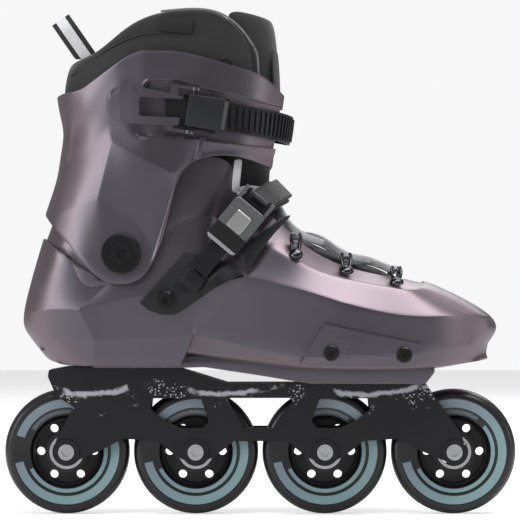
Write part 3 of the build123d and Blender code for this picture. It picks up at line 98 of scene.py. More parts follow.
# ---------------------------------------------------------------- tools for meshes
def deselect():
    """Leaves edit mode and deselects everything."""
    if bpy.context.object and bpy.context.object.mode != "OBJECT":
        bpy.ops.object.mode_set(mode="OBJECT")
    bpy.ops.object.select_all(action="DESELECT")


def pick(obj):
    """Selects one object alone and makes it active."""
    deselect()
    obj.select_set(True)
    bpy.context.view_layer.objects.active = obj


def named(name):
    """Names the object that was just added, and its mesh."""
    obj = bpy.context.object
    obj.name = name
    obj.data.name = name
    return obj


def lattice(name, columns):
    """A grid sheet whose corners are the given columns of points, in millimetres.
    Returns the object and the vertex number of each (column, row)."""
    deselect()
    n, m = len(columns) - 1, len(columns[0]) - 1
    bpy.ops.mesh.primitive_grid_add(x_subdivisions=n, y_subdivisions=m, size=2)
    obj = named(name)
    index = {}
    for v in obj.data.vertices:
        i, j = round((v.co.x + 1) / 2 * n), round((v.co.y + 1) / 2 * m)
        index[i, j] = v.index
        v.co = Vector(columns[i][j]) * MM
    return obj, index


def crease(obj, index, lines):
    """Creases the edges along lines of (column, row) corners, each with a weight."""
    layer = obj.data.attributes.get("crease_edge") or obj.data.attributes.new("crease_edge", "FLOAT", "EDGE")
    wanted = {}
    for weight, line in lines:
        for a, b in zip(line, line[1:]):
            wanted[frozenset((index[a], index[b]))] = weight
    for edge in obj.data.edges:
        weight = wanted.get(frozenset(edge.vertices))
        if weight is not None:
            layer.data[edge.index].value = weight


def weld(obj, gap=0.02):
    """Merges corners nearer than the gap, in millimetres, and turns the faces outwards."""
    pick(obj)
    bpy.ops.object.mode_set(mode="EDIT")
    bpy.ops.mesh.select_all(action="SELECT")
    bpy.ops.mesh.remove_doubles(threshold=gap * MM)
    bpy.ops.mesh.normals_make_consistent(inside=False)
    bpy.ops.object.mode_set(mode="OBJECT")


def settle(obj, turns=6):
    """Moves the cage until its smoothed surface passes through the corners that were asked for."""
    aim = [v.co.copy() for v in obj.data.vertices]
    mod = obj.modifiers.new("Smooth", "SUBSURF")
    mod.levels = mod.render_levels = 2
    for _ in range(turns):
        view = bpy.context.evaluated_depsgraph_get()
        smooth = obj.evaluated_get(view).data
        shifts = [a - smooth.vertices[i].co for i, a in enumerate(aim)]
        for v, s in zip(obj.data.vertices, shifts):
            v.co += s * 0.9
        obj.data.update()
        bpy.context.view_layer.update()
    obj.modifiers.remove(mod)


def apply(obj, kind, **values):
    pick(obj)
    mod = obj.modifiers.new(kind.title(), kind)
    for key, value in values.items():
        setattr(mod, key, value)
    if kind == "SUBSURF":
        mod.render_levels = mod.levels
    bpy.ops.object.modifier_apply(modifier=mod.name)


def smooth(obj, angle=35.0):
    pick(obj)
    bpy.ops.object.shade_smooth_by_angle(angle=math.radians(angle))


def finish_piece(obj, body, material, replaces=()):
    obj.data.materials.clear()
    obj.data.materials.append(material)
    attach(obj, body)
    if replaces:
        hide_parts(*replaces)
    return obj


def soften(obj, width, segments=2):
    """Rounds the creased edges of a smoothed cage."""
    creased = obj.data.attributes.get("crease_edge")
    weight = obj.data.attributes.new("bevel_weight_edge", "FLOAT", "EDGE")
    for n, value in enumerate(creased.data):
        weight.data[n].value = 1.0 if value.value > 0.75 else 0.0
    apply(obj, "BEVEL", width=width * MM, segments=segments, limit_method="WEIGHT")
    for key in ("bevel_weight_edge", "crease_edge"):
        made = obj.data.attributes.get(key)
        if made:
            obj.data.attributes.remove(made)


def slab(name, frame_of, outline, low, high, bevel=0.4):
    """An outline in a plane's own X and Y, in millimetres, carried along its Z and rounded."""
    origin, x_dir, y_dir = (Vector(v) for v in frame_of)
    z_dir = x_dir.cross(y_dir)
    deselect()
    bpy.ops.mesh.primitive_circle_add(vertices=len(outline), radius=1, fill_type="NGON")
    obj = named(name)
    for v, (a, b) in zip(obj.data.vertices, outline):
        v.co = (origin + x_dir * a + y_dir * b + z_dir * low) * MM
    pick(obj)
    bpy.ops.object.mode_set(mode="EDIT")
    bpy.ops.mesh.select_all(action="SELECT")
    bpy.ops.mesh.extrude_region_move(TRANSFORM_OT_translate={"value": z_dir * ((high - low) * MM)})
    bpy.ops.mesh.select_all(action="SELECT")
    bpy.ops.mesh.normals_make_consistent(inside=False)
    bpy.ops.object.mode_set(mode="OBJECT")
    apply(obj, "BEVEL", width=bevel * MM, segments=3, limit_method="ANGLE", angle_limit=math.radians(25))
    smooth(obj)
    return obj


def block(name, outline, y0, y1, bevel=0.6, segments=3):
    """A side-view outline, in millimetres, carried from y0 to y1 and rounded along its edges."""
    deselect()
    bpy.ops.mesh.primitive_circle_add(vertices=len(outline), radius=1, fill_type="NGON")
    obj = named(name)
    for v, (x, z) in zip(obj.data.vertices, outline):
        v.co = Vector((x, y0, z)) * MM
    pick(obj)
    bpy.ops.object.mode_set(mode="EDIT")
    bpy.ops.mesh.select_all(action="SELECT")
    bpy.ops.mesh.extrude_region_move(TRANSFORM_OT_translate={"value": (0, (y1 - y0) * MM, 0)})
    bpy.ops.mesh.select_all(action="SELECT")
    bpy.ops.mesh.normals_make_consistent(inside=False)
    bpy.ops.object.mode_set(mode="OBJECT")
    if bevel:
        apply(obj, "BEVEL", width=bevel * MM, segments=segments,
              limit_method="ANGLE", angle_limit=math.radians(25))
    smooth(obj)
    return obj


def tube(name, points, radius, cyclic=False, order=4):
    """A round cord through space, in millimetres, as a mesh."""
    deselect()
    bpy.ops.curve.primitive_nurbs_path_add()
    obj = bpy.context.object
    obj.name = name
    obj.data.splines.clear()
    spline = obj.data.splines.new("NURBS")
    spline.points.add(len(points) - 1)
    for p, co in zip(spline.points, points):
        p.co = (*(Vector(co) * MM), 1)
    spline.use_cyclic_u = cyclic
    spline.order_u = order
    spline.use_endpoint_u = not cyclic
    obj.data.dimensions = "3D"
    obj.data.bevel_depth = radius * MM
    obj.data.bevel_resolution = 4
    obj.data.resolution_u = 8
    obj.data.use_fill_caps = True
    pick(obj)
    bpy.ops.object.convert(target="MESH")
    obj = named(name)
    bpy.ops.object.shade_smooth()
    return obj


# ---------------------------------------------------------------- leg form
LEG_SECTIONS = [
    (140.0, -150.0, 0.0, 45.0),
    (166.5, -144.5, -2.0, 46.0),
    (191.7, -137.9, 7.0, 46.5),
    (215.0, -130.4, 12.0, 47.0),
    (242.6, -126.2, 17.0, 47.5),
    (266.5, -130.5, 20.0, 48.0),
    (294.0, -127.0, 18.0, 47.0),
    (328.0, -120.0, 15.0, 45.0),
]
LEG_POWER = 2.4
PIVOT = (-87.7, 166.5)


def leg_section(z):
    if z <= LEG_SECTIONS[0][0]:
        return LEG_SECTIONS[0][1:]
    for low, high in zip(LEG_SECTIONS, LEG_SECTIONS[1:]):
        if z <= high[0]:
            t = (z - low[0]) / (high[0] - low[0])
            return tuple(a + (b - a) * t for a, b in zip(low[1:], high[1:]))
    return LEG_SECTIONS[-1][1:]


def leg_angle(x, z):
    back, front, _ = leg_section(z)
    share = max(-1.0, min(1.0, (x - (back + front) / 2) / ((front - back) / 2)))
    return math.degrees(math.acos(math.copysign(abs(share) ** (LEG_POWER / 2), share)))


def leg_point(angle, z, inset=0.0):
    """Point on the leg form: angle 0 is in front, 90 outside, 180 behind, negative inside."""
    back, front, half = leg_section(z)
    c, s = math.cos(math.radians(angle)), math.sin(math.radians(angle))
    power = 2 / LEG_POWER
    x = math.copysign(abs(c) ** power, c) * ((front - back) / 2 - inset)
    y = math.copysign(abs(s) ** power, s) * (half - inset)
    return Vector(((back + front) / 2 + x, -y, z))


def side_point(x, z, inset=0.0):
    return leg_point(leg_angle(x, z), z, inset)


def mirrored(p):
    return Vector((p[0], -p[1], p[2]))


def both_halves(columns):
    """Outer-side columns followed by their mirror images, back to the start."""
    return [list(c) for c in columns] + [[mirrored(p) for p in c] for c in reversed(columns[:-1])]


def swing(p):
    if p[0] <= 20:
        return Vector(p)
    return Vector((p[0], p[1] + 8.0 * ((p[0] - 20) / 128) ** 2, p[2]))


# ---------------------------------------------------------------- tools for materials
def node(tree, kind, inputs=None, **values):
    made = tree.nodes.new(kind)
    for key, value in values.items():
        setattr(made, key, value)
    for key, value in (inputs or {}).items():
        if isinstance(value, bpy.types.NodeSocket):
            tree.links.new(value, made.inputs[key])
        else:
            made.inputs[key].default_value = value
    return made


def calc(tree, operation, *values):
    made = node(tree, "ShaderNodeMath", dict(enumerate(values)), operation=operation)
    return made.outputs[0]


def blend_colours(tree, factor, a, b, mode="MIX"):
    made = tree.nodes.new("ShaderNodeMix")
    made.data_type = "RGBA"
    made.blend_type = mode
    for socket, value in ((made.inputs[0], factor), (made.inputs[6], a), (made.inputs[7], b)):
        if isinstance(value, bpy.types.NodeSocket):
            tree.links.new(value, socket)
        else:
            socket.default_value = (
                (*value, 1.0) if isinstance(value, (tuple, list)) and len(value) == 3 else value
            )
    return made.outputs[2]


def smooth_step(tree, value, low, high):
    return node(tree, "ShaderNodeMapRange", {"Value": value, "From Min": low, "From Max": high},
                interpolation_type="SMOOTHSTEP").outputs[0]


def band(tree, value, low, high, soft):
    """1 between low and high, fading over soft at both ends."""
    up = smooth_step(tree, value, low - soft, low + soft)
    down = smooth_step(tree, value, high - soft, high + soft)
    return calc(tree, "SUBTRACT", up, down)


def group(name, inputs, outputs):
    tree = bpy.data.node_groups.new(name, "ShaderNodeTree")
    for key, kind, default in inputs:
        made = tree.interface.new_socket(key, in_out="INPUT", socket_type=kind)
        if default is not None:
            made.default_value = default
    for key, kind in outputs:
        tree.interface.new_socket(key, in_out="OUTPUT", socket_type=kind)
    return tree, tree.nodes.new("NodeGroupInput"), tree.nodes.new("NodeGroupOutput")


def grain_group():
    """Fine moulded grain with slow changes of tone."""
    tree, start, end = group(
        "Moulded grain",
        [("Vector", "NodeSocketVector", None), ("Grain scale", "NodeSocketFloat", 1400.0),
         ("Patch scale", "NodeSocketFloat", 22.0)],
        [("Height", "NodeSocketFloat"), ("Tone", "NodeSocketFloat")])
    vector = start.outputs["Vector"]
    fine = node(tree, "ShaderNodeTexNoise",
                {"Vector": vector, "Scale": start.outputs["Grain scale"], "Detail": 2.0})
    slow = node(tree, "ShaderNodeTexNoise",
                {"Vector": vector, "Scale": start.outputs["Patch scale"], "Detail": 3.0})
    tree.links.new(fine.outputs[0], end.inputs["Height"])
    tree.links.new(slow.outputs[0], end.inputs["Tone"])
    return tree


def weave_group():
    """Plain weave of crossing yarns, with a tone that is random fuzz plus painted shade in the low places
    between the yarns.
    """
    tree, start, end = group(
        "Plain weave",
        [("Vector", "NodeSocketVector", None), ("Yarns", "NodeSocketFloat", 900.0)],
        [("Height", "NodeSocketFloat"), ("Tone", "NodeSocketFloat")])
    split = node(tree, "ShaderNodeSeparateXYZ", {"Vector": start.outputs["Vector"]})
    yarns = start.outputs["Yarns"]
    across = calc(tree, "ADD", split.outputs[0], calc(tree, "MULTIPLY", split.outputs[1], 0.6))
    u = calc(tree, "SINE", calc(tree, "MULTIPLY", calc(tree, "MULTIPLY", across, yarns), 6.2832))
    v = calc(tree, "SINE", calc(tree, "MULTIPLY", calc(tree, "MULTIPLY", split.outputs[2], yarns), 6.2832))
    cross = calc(tree, "MULTIPLY", u, v)
    height = calc(tree, "ADD", calc(tree, "MULTIPLY", cross, 0.5), 0.5)
    fuzz = node(tree, "ShaderNodeTexNoise", {"Vector": start.outputs["Vector"], "Scale": 60.0, "Detail": 4.0})
    tree.links.new(height, end.inputs["Height"])
    # Tone: random fuzz times the height, so the low places between the yarns carry painted shade.
    tree.links.new(calc(tree, "MULTIPLY", height, fuzz.outputs[0]), end.inputs["Tone"])
    return tree


GROUPS = {}


def shared(name):
    if name not in GROUPS:
        GROUPS[name] = {"grain": grain_group, "weave": weave_group}[name]()
    return GROUPS[name]


def material(name, colour, roughness, metallic=0.0, coat=0.0, sheen=0.0, coat_roughness=0.2, specular=0.5):
    mat = bpy.data.materials.new(name)
    mat.use_nodes = True
    tree = mat.node_tree
    shader = tree.nodes["Principled BSDF"]
    shader.inputs["Base Color"].default_value = (*colour, 1)
    shader.inputs["Roughness"].default_value = roughness
    shader.inputs["Metallic"].default_value = metallic
    shader.inputs["Coat Weight"].default_value = coat
    shader.inputs["Coat Roughness"].default_value = coat_roughness
    shader.inputs["Sheen Weight"].default_value = sheen
    shader.inputs["Specular IOR Level"].default_value = specular
    coords = tree.nodes.new("ShaderNodeTexCoord").outputs["Object"]
    return mat, tree, shader, coords


def bump(tree, shader, height, strength, distance):
    made = node(tree, "ShaderNodeBump", {"Height": height, "Strength": strength, "Distance": distance})
    tree.links.new(made.outputs[0], shader.inputs["Normal"])


def plastic(name, colour, roughness=0.4, metallic=0.0, grain=1400.0, depth=0.00003, spread=0.16, **more):
    """Moulded plastic: fine grain, slow tone changes, slightly uneven gloss."""
    mat, tree, shader, coords = material(name, colour, roughness, metallic, **more)
    made = node(tree, "ShaderNodeGroup", node_tree=shared("grain"))
    tree.links.new(coords, made.inputs["Vector"])
    made.inputs["Grain scale"].default_value = grain
    dark = tuple(c * (1 - spread) for c in colour)
    light = tuple(min(1, c * (1 + spread)) for c in colour)
    tone = smooth_step(tree, made.outputs["Tone"], 0.35, 0.65)
    tree.links.new(blend_colours(tree, tone, dark, light), shader.inputs["Base Color"])
    rough = calc(tree, "ADD", calc(tree, "MULTIPLY", tone, 0.06), roughness - 0.03)
    tree.links.new(rough, shader.inputs["Roughness"])
    bump(tree, shader, made.outputs["Height"], 0.35, depth)
    return mat


def plastic_with_painted_sheen(name, colour):
    """Satin plastic with a painted sheen in its colour: darker blue-grey seen square on, lighter and rosy at
    a slant.
    """
    mat, tree, shader, coords = material(name, colour, 0.36, 0.75)
    made = node(tree, "ShaderNodeGroup", node_tree=shared("grain"))
    tree.links.new(coords, made.inputs["Vector"])
    made.inputs["Grain scale"].default_value = 1400.0
    tone = smooth_step(tree, made.outputs["Tone"], 0.35, 0.65)
    # Painted sheen: the base colour follows the viewing angle, darker blue-grey square on and lighter rosy at
    # a slant.
    slant = node(tree, "ShaderNodeLayerWeight", {"Blend": 0.5}).outputs["Facing"]
    painted_sheen_square_on = tuple(c * f for c, f in zip(colour, (0.55, 0.63, 0.68)))
    shift = blend_colours(tree, smooth_step(tree, slant, 0.0, 0.36),
                          painted_sheen_square_on, tuple(c * 1.15 for c in colour))
    darker = node(tree, "ShaderNodeMixRGB", {"Fac": 0.06, "Color1": shift, "Color2": (0, 0, 0, 1)})
    mixed = node(tree, "ShaderNodeMixRGB", {"Fac": tone, "Color1": darker.outputs[0], "Color2": shift})
    tree.links.new(mixed.outputs[0], shader.inputs["Base Color"])
    rough = calc(tree, "ADD", calc(tree, "MULTIPLY", tone, 0.06), 0.34)
    tree.links.new(rough, shader.inputs["Roughness"])
    bump(tree, shader, made.outputs["Height"], 0.35, 0.00002)
    return mat


def cloth(name, colour, yarns=900.0, depth=0.0002, sheen=0.3, spread=0.5, roughness=0.85):
    mat, tree, shader, coords = material(name, colour, roughness, sheen=sheen)
    made = node(tree, "ShaderNodeGroup", node_tree=shared("weave"))
    tree.links.new(coords, made.inputs["Vector"])
    made.inputs["Yarns"].default_value = yarns
    dark = tuple(c * (1 - spread) for c in colour)
    light = tuple(min(1, c * (1 + spread)) for c in colour)
    # Colour from the weave's tone: random fuzz plus painted shade between the yarns.
    tree.links.new(blend_colours(tree, made.outputs["Tone"], dark, light), shader.inputs["Base Color"])
    bump(tree, shader, made.outputs["Height"], 0.6, depth)
    return mat


def metal(name, colour, roughness=0.3, scratch=900.0):
    mat, tree, shader, coords = material(name, colour, roughness, 1.0)
    stretch = node(tree, "ShaderNodeMapping", {"Vector": coords, "Scale": (1.0, 0.15, 1.0)})
    noise = node(tree, "ShaderNodeTexNoise", {"Vector": stretch.outputs[0], "Scale": scratch, "Detail": 3.0})
    rough = calc(tree, "ADD", calc(tree, "MULTIPLY", noise.outputs[0], 0.2), roughness - 0.1)
    tree.links.new(rough, shader.inputs["Roughness"])
    shade = blend_colours(tree, noise.outputs[0], tuple(c * 0.85 for c in colour), colour)
    tree.links.new(shade, shader.inputs["Base Color"])
    bump(tree, shader, noise.outputs[0], 0.2, 0.00002)
    return mat


def frame_paint():
    """Satin black with a broken wave print in pale grey on the outer and inner faces."""
    mat, tree, shader, coords = material("frame_paint", (0.006, 0.0065, 0.008), 0.42, 0.0, specular=0.4)
    split = node(tree, "ShaderNodeSeparateXYZ", {"Vector": coords})
    x, y, z = split.outputs
    warp = node(tree, "ShaderNodeTexNoise",
                {"Vector": coords, "Scale": 28.0, "Detail": 5.0, "Roughness": 0.7})
    wave = calc(tree, "SINE", calc(tree, "MULTIPLY", x, 72.0))
    shift = calc(tree, "ADD", calc(tree, "MULTIPLY", wave, 0.0035),
                 calc(tree, "MULTIPLY", warp.outputs[0], 0.016))
    level = calc(tree, "SUBTRACT", z, shift)
    ridge = band(tree, level, 0.0705, 0.0735, 0.0009)
    patches = node(tree, "ShaderNodeTexNoise", {"Vector": coords, "Scale": 46.0, "Detail": 2.0})
    ridge = calc(tree, "MULTIPLY", ridge, smooth_step(tree, patches.outputs[0], 0.50, 0.56))
    dots = node(tree, "ShaderNodeTexVoronoi", {"Vector": coords, "Scale": 620.0})
    dot = calc(tree, "LESS_THAN", dots.outputs["Distance"], 0.34)
    fade = node(tree, "ShaderNodeTexNoise", {"Vector": coords, "Scale": 80.0, "Detail": 3.0})
    spray = calc(tree, "MULTIPLY", band(tree, level, 0.058, 0.073, 0.002),
                 smooth_step(tree, fade.outputs[0], 0.52, 0.6))
    spray = calc(tree, "MULTIPLY", dot, spray)
    side = calc(tree, "GREATER_THAN", calc(tree, "ABSOLUTE", y), 0.0172)
    mask = calc(tree, "MULTIPLY", calc(tree, "MAXIMUM", ridge, spray), side)
    mask = calc(tree, "MINIMUM", mask, 1.0)
    tree.links.new(blend_colours(tree, mask, (0.006, 0.0065, 0.008), (0.42, 0.43, 0.46)),
                   shader.inputs["Base Color"])
    noise = node(tree, "ShaderNodeTexNoise", {"Vector": coords, "Scale": 1600.0})
    bump(tree, shader, noise.outputs[0], 0.25, 0.00002)
    return mat


def tyre_rubber():
    """Black cast urethane with a printed ring, a thin arc and a row of plain bars on each side."""
    mat, tree, shader, coords = material("tyre_urethane", (0.012, 0.012, 0.014), 0.42, coat=0.1)
    split = node(tree, "ShaderNodeSeparateXYZ", {"Vector": coords})
    x, y, z = split.outputs
    along = calc(tree, "SUBTRACT", calc(tree, "MODULO", calc(tree, "ADD", x, 0.165), 0.0825), 0.04125)
    up = calc(tree, "SUBTRACT", z, 0.04)
    radius = calc(tree, "SQRT", calc(tree, "ADD", calc(tree, "MULTIPLY", along, along),
                                     calc(tree, "MULTIPLY", up, up)))
    angle = calc(tree, "ARCTAN2", up, along)
    side = calc(tree, "GREATER_THAN", calc(tree, "ABSOLUTE", y), 0.0102)
    # broad ring, open on the left
    gap = calc(tree, "GREATER_THAN",
               calc(tree, "ABSOLUTE",
                    calc(tree, "WRAP", calc(tree, "SUBTRACT", angle, 3.09), math.pi, -math.pi)),
               0.27)
    ring = calc(tree, "MULTIPLY", band(tree, radius, 0.0283, 0.0336, 0.00012), gap)
    arc = band(tree, angle, -2.69, 0.70, 0.01)
    thin = calc(tree, "MULTIPLY", band(tree, radius, 0.0238, 0.0262, 0.00012), arc)
    slant = calc(tree, "ADD", calc(tree, "MULTIPLY", angle, 14.0), calc(tree, "MULTIPLY", radius, 1500.0))
    bars = calc(tree, "LESS_THAN", calc(tree, "FRACT", slant), 0.42)
    bars = calc(tree, "MULTIPLY", bars, band(tree, angle, 0.95, 2.55, 0.005))
    bars = calc(tree, "MULTIPLY", bars, band(tree, radius, 0.0245, 0.0268, 0.0001))
    mask = calc(tree, "MAXIMUM", calc(tree, "MAXIMUM", ring, thin), bars)
    mask = calc(tree, "MULTIPLY", mask, side)
    # The ring's colour turns grey-blue towards its upper left.
    turn = smooth_step(tree, calc(tree, "SUBTRACT", up, along), -0.03, 0.03)
    tint = blend_colours(tree, turn, tuple(settings().ring_colour), (0.20, 0.25, 0.30))
    tree.links.new(blend_colours(tree, mask, (0.012, 0.012, 0.014), tint), shader.inputs["Base Color"])
    noise = node(tree, "ShaderNodeTexNoise", {"Vector": coords, "Scale": 900.0})
    rough = calc(tree, "ADD", calc(tree, "MULTIPLY", noise.outputs[0], 0.12), 0.3)
    tree.links.new(rough, shader.inputs["Roughness"])
    bump(tree, shader, noise.outputs[0], 0.15, 0.00002)
    return mat


def label_patch():
    """Woven label with a plain frame and three plain bars."""
    mat, tree, shader, coords = material("label_weave", (0.01, 0.01, 0.01), 0.8)
    moved = node(tree, "ShaderNodeMapping",
                 {"Vector": coords, "Location": (0.05325, 0, -0.3105), "Rotation": (0, math.radians(-5), 0)})
    split = node(tree, "ShaderNodeSeparateXYZ", {"Vector": moved.outputs[0]})
    x, _, z = split.outputs
    across, up = calc(tree, "ABSOLUTE", x), calc(tree, "ABSOLUTE", z)
    frame_line = calc(tree, "MAXIMUM", band(tree, across, 0.0092, 0.0097, 0.0001),
                      band(tree, up, 0.0026, 0.0031, 0.0001))
    inside = calc(tree, "MULTIPLY", calc(tree, "LESS_THAN", across, 0.0097),
                  calc(tree, "LESS_THAN", up, 0.0031))
    bars = calc(tree, "MULTIPLY", calc(tree, "LESS_THAN", up, 0.0012),
                calc(tree, "LESS_THAN", calc(tree, "PINGPONG", x, 0.0016), 0.0006))
    bars = calc(tree, "MULTIPLY", bars, calc(tree, "LESS_THAN", across, 0.0078))
    mask = calc(tree, "MULTIPLY", calc(tree, "MAXIMUM", frame_line, bars), inside)
    tree.links.new(blend_colours(tree, mask, (0.008, 0.008, 0.008), (0.4, 0.4, 0.4)),
                   shader.inputs["Base Color"])
    noise = node(tree, "ShaderNodeTexNoise", {"Vector": coords, "Scale": 1800.0})
    bump(tree, shader, noise.outputs[0], 0.4, 0.0001)
    return mat


def ribbed_plastic(name, colour, axis, pitch):
    """Matt plastic with fine ribs square to one axis, with painted shade darkening the grooves between them.
    """
    mat, tree, shader, coords = material(name, colour, 0.5)
    split = node(tree, "ShaderNodeSeparateXYZ", {"Vector": coords})
    wave = calc(tree, "SINE", calc(tree, "MULTIPLY", split.outputs[axis], 2 * math.pi / pitch))
    height = smooth_step(tree, wave, -0.5, 0.5)
    noise = node(tree, "ShaderNodeTexNoise", {"Vector": coords, "Scale": 900.0})
    # Painted shade: the grooves between the ribs are darkened to 40 % of the colour.
    shade = blend_colours(tree, height, tuple(c * 0.4 for c in colour), colour)
    tree.links.new(shade, shader.inputs["Base Color"])
    rough = calc(tree, "ADD", calc(tree, "MULTIPLY", noise.outputs[0], 0.15), 0.42)
    tree.links.new(rough, shader.inputs["Roughness"])
    bump(tree, shader, height, 0.8, 0.0006)
    return mat


def two_tone_buckle():
    """Grey lever frame that turns black towards its thumb end, with a pale lip."""
    mat, tree, shader, coords = material("buckle_two_tone", (0.1, 0.1, 0.11), 0.38, 0.2)
    split = node(tree, "ShaderNodeSeparateXYZ", {"Vector": coords})
    x, _, z = split.outputs
    along = calc(tree, "ADD", calc(tree, "MULTIPLY", calc(tree, "ADD", x, 0.015), 0.6402),
                 calc(tree, "MULTIPLY", calc(tree, "SUBTRACT", z, 0.1876), 0.7682))
    black = band(tree, along, -0.0168, -0.0068, 0.0001)
    lip = calc(tree, "LESS_THAN", along, -0.0168)
    noise = node(tree, "ShaderNodeTexNoise", {"Vector": coords, "Scale": 1100.0, "Detail": 2.0})
    grey = blend_colours(tree, noise.outputs[0], (0.085, 0.087, 0.092), (0.13, 0.132, 0.138))
    shade = blend_colours(tree, black, grey, (0.009, 0.009, 0.010))
    tree.links.new(blend_colours(tree, lip, shade, (0.3, 0.31, 0.33)), shader.inputs["Base Color"])
    bump(tree, shader, noise.outputs[0], 0.2, 0.00002)
    return mat


def pull_loop_webbing():
    """Black webbing with a pale reflective band down its middle."""
    mat, tree, shader, coords = material("pull_loop_webbing", (0.012, 0.012, 0.013), 0.7)
    split = node(tree, "ShaderNodeSeparateXYZ", {"Vector": coords})
    x, _, z = split.outputs
    across = calc(tree, "ADD", calc(tree, "MULTIPLY", calc(tree, "ADD", x, 0.1115), 0.82),
                  calc(tree, "MULTIPLY", calc(tree, "SUBTRACT", z, 0.2925), 0.57))
    pale = band(tree, across, -0.0034, 0.0034, 0.0001)
    made = node(tree, "ShaderNodeGroup", node_tree=shared("weave"))
    tree.links.new(coords, made.inputs["Vector"])
    made.inputs["Yarns"].default_value = 900.0
    # Colour from the weave's tone: random fuzz plus painted shade between the yarns.
    dark = blend_colours(tree, made.outputs["Tone"], (0.004, 0.004, 0.004), (0.05, 0.05, 0.05))
    light = blend_colours(tree, made.outputs["Tone"], (0.62, 0.63, 0.65), (0.8, 0.8, 0.82))
    tree.links.new(blend_colours(tree, pale, dark, light), shader.inputs["Base Color"])
    bump(tree, shader, made.outputs["Height"], 0.5, 0.0002)
    return mat


MATERIALS = {}


def finish_of(name):
    """The material of that name, made the first time it is asked for."""
    if name in MATERIALS:
        return MATERIALS[name]
    s = settings()
    shell = tuple(s.shell_colour)
    liner = tuple(s.liner_colour)
    makers = {
        "shell": lambda: plastic_with_painted_sheen("shell_plastic", shell),
        "cuff": lambda: plastic_with_painted_sheen("cuff_plastic", shell),
        "strap": lambda: plastic("strap_plastic", (0.010, 0.0105, 0.012), 0.42, spread=0.3, specular=0.35),
        "black": lambda: plastic("black_plastic", (0.005, 0.005, 0.006), 0.36, spread=0.3, specular=0.35),
        "liner": lambda: cloth("liner_cloth", liner, 1000.0),
        "smooth_liner": lambda: cloth("liner_smooth", liner, 2200.0, 0.00006, 0.15, 0.3, 0.7),
        "lining": lambda: cloth("lining_cloth", (0.11, 0.09, 0.095), 500.0, 0.0002, 0.3, 0.7),
        "footbed": lambda: cloth("footbed_cloth", (0.05, 0.05, 0.055), 700.0),
        "lace": lambda: cloth("lace_braid", (0.66, 0.67, 0.68), 700.0, 0.0003, 0.3, 0.4),
        "webbing": lambda: cloth("webbing", (0.01, 0.01, 0.011), 800.0),
        "piping": lambda: cloth("piping_cord", (0.2, 0.21, 0.22), 900.0),
        "label": lambda: label_patch(),
        "hook": lambda: metal("hook_black_chrome", (0.09, 0.09, 0.1), 0.18),
        "ribbed": lambda: ribbed_plastic("ribbed_pad", (0.03, 0.03, 0.032), 1, 0.0022),
        "smooth_black": lambda: plastic("smooth_black_plastic", (0.016, 0.017, 0.019), 0.42,
                                        spread=0.15, specular=0.35),
        "buckle_body": lambda: two_tone_buckle(),
        "loop": lambda: pull_loop_webbing(),
        "steel": lambda: metal("bright_steel", (0.56, 0.57, 0.58), 0.28),
        "dark_steel": lambda: metal("dark_steel", (0.09, 0.09, 0.1), 0.32),
        "button": lambda: metal("satin_button", (0.62, 0.62, 0.61), 0.34),
        "brass": lambda: metal("cage_brass", (0.6, 0.45, 0.2), 0.35),
        "pad": lambda: plastic("shock_rubber", (0.03, 0.03, 0.03), 0.7),
        "hub": lambda: plastic("hub_plastic", (0.012, 0.012, 0.013), 0.4, specular=0.4),
        "frame": frame_paint,
        "tyre": tyre_rubber,
    }
    MATERIALS[name] = makers[name]()
    return MATERIALS[name]


def paint(node_name, finish):
    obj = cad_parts[node_name]
    if not obj.material_slots:
        obj.data.materials.append(finish_of(finish))
    for slot in obj.material_slots:
        slot.material = finish_of(finish)


# ---------------------------------------------------------------- boot shell
FOOT_COLUMNS = [
    ((92.7, 0, 150.5), (111.2, 0, 147.0), (148.0, 0, 127.0), (147.2, 0, 110.0), (144.6, 0, 98.6)),
    ((92.7, 7, 150.3), (112.0, 14, 145.2), (144.3, 19.5, 127.0), (143.6, 19, 110.0), (141.0, 17, 98.4)),
    ((91.5, 13, 150.2), (108.0, 25, 143.8), (134.0, 35, 127.0), (133.5, 34.3, 109.0), (131.3, 31, 97.5)),
    ((88.0, 18, 150.6), (98.0, 35, 143.5), (115.0, 46, 127.1), (114.8, 45, 107.5), (113.5, 41, 95.5)),
    ((78.0, 21, 152.8), (82.0, 40, 145.2), (87.6, 52, 128.0), (87.6, 50.8, 105.0), (87.6, 46.5, 94.1)),
    ((56.0, 23, 158.0), (54.0, 41, 150.5), (51.1, 54.5, 136.0), (51.1, 53.4, 104.0), (51.1, 48, 94.1)),
    ((31.0, 26, 170.0), (28.0, 42, 158.5), (23.6, 52.5, 144.5), (23.6, 50.5, 103.0), (23.6, 44, 94.7)),
    ((10.0, 28.5, 188.0), (1.0, 42, 171.0), (-8.4, 48.5, 152.0), (-8.4, 45.5, 109.4), (-8.4, 39, 98.9)),
]
ANKLE_COLUMNS = [
    ((-6.5, 207.0), (-19.0, 180.0), (-37.0, 45.5, 147.0), (-41.0, 39.5, 115.6), (-46.8, 33, 104.3)),
    ((-17.0, 225.5), (-30.0, 186.0), (-43.5, 45.3, 145.8), (-43.0, 41.5, 115.2), (-51.0, 35, 95.5)),
    ((-50.0, 224.5), (-62.0, 176.0), (-75.6, 43.0, 140.2), (-75.6, 40.0, 113.3), (-75.6, 34.5, 95.5)),
    ((-82.0, 210.0), (-101.2, 149.1), (-114.7, 39.0, 131.2), (-105.1, 38.5, 112.0), (-107.0, 32, 95.5)),
    ((-105.0, 203.0), (-121.5, 161.8), (-134.0, 31.0, 131.2), (-128.0, 30.5, 113.0), (-119.0, 26, 95.5)),
    ((-121.0, 199.0), (-135.0, 171.0), (-146.5, 18.0, 131.2), (-143.0, 17.5, 114.0), (-129.0, 14, 96.8)),
    (None, None, (-151.2, 0.0, 131.2), (-148.5, 0.0, 114.5), (-133.5, 0, 98.2)),
]
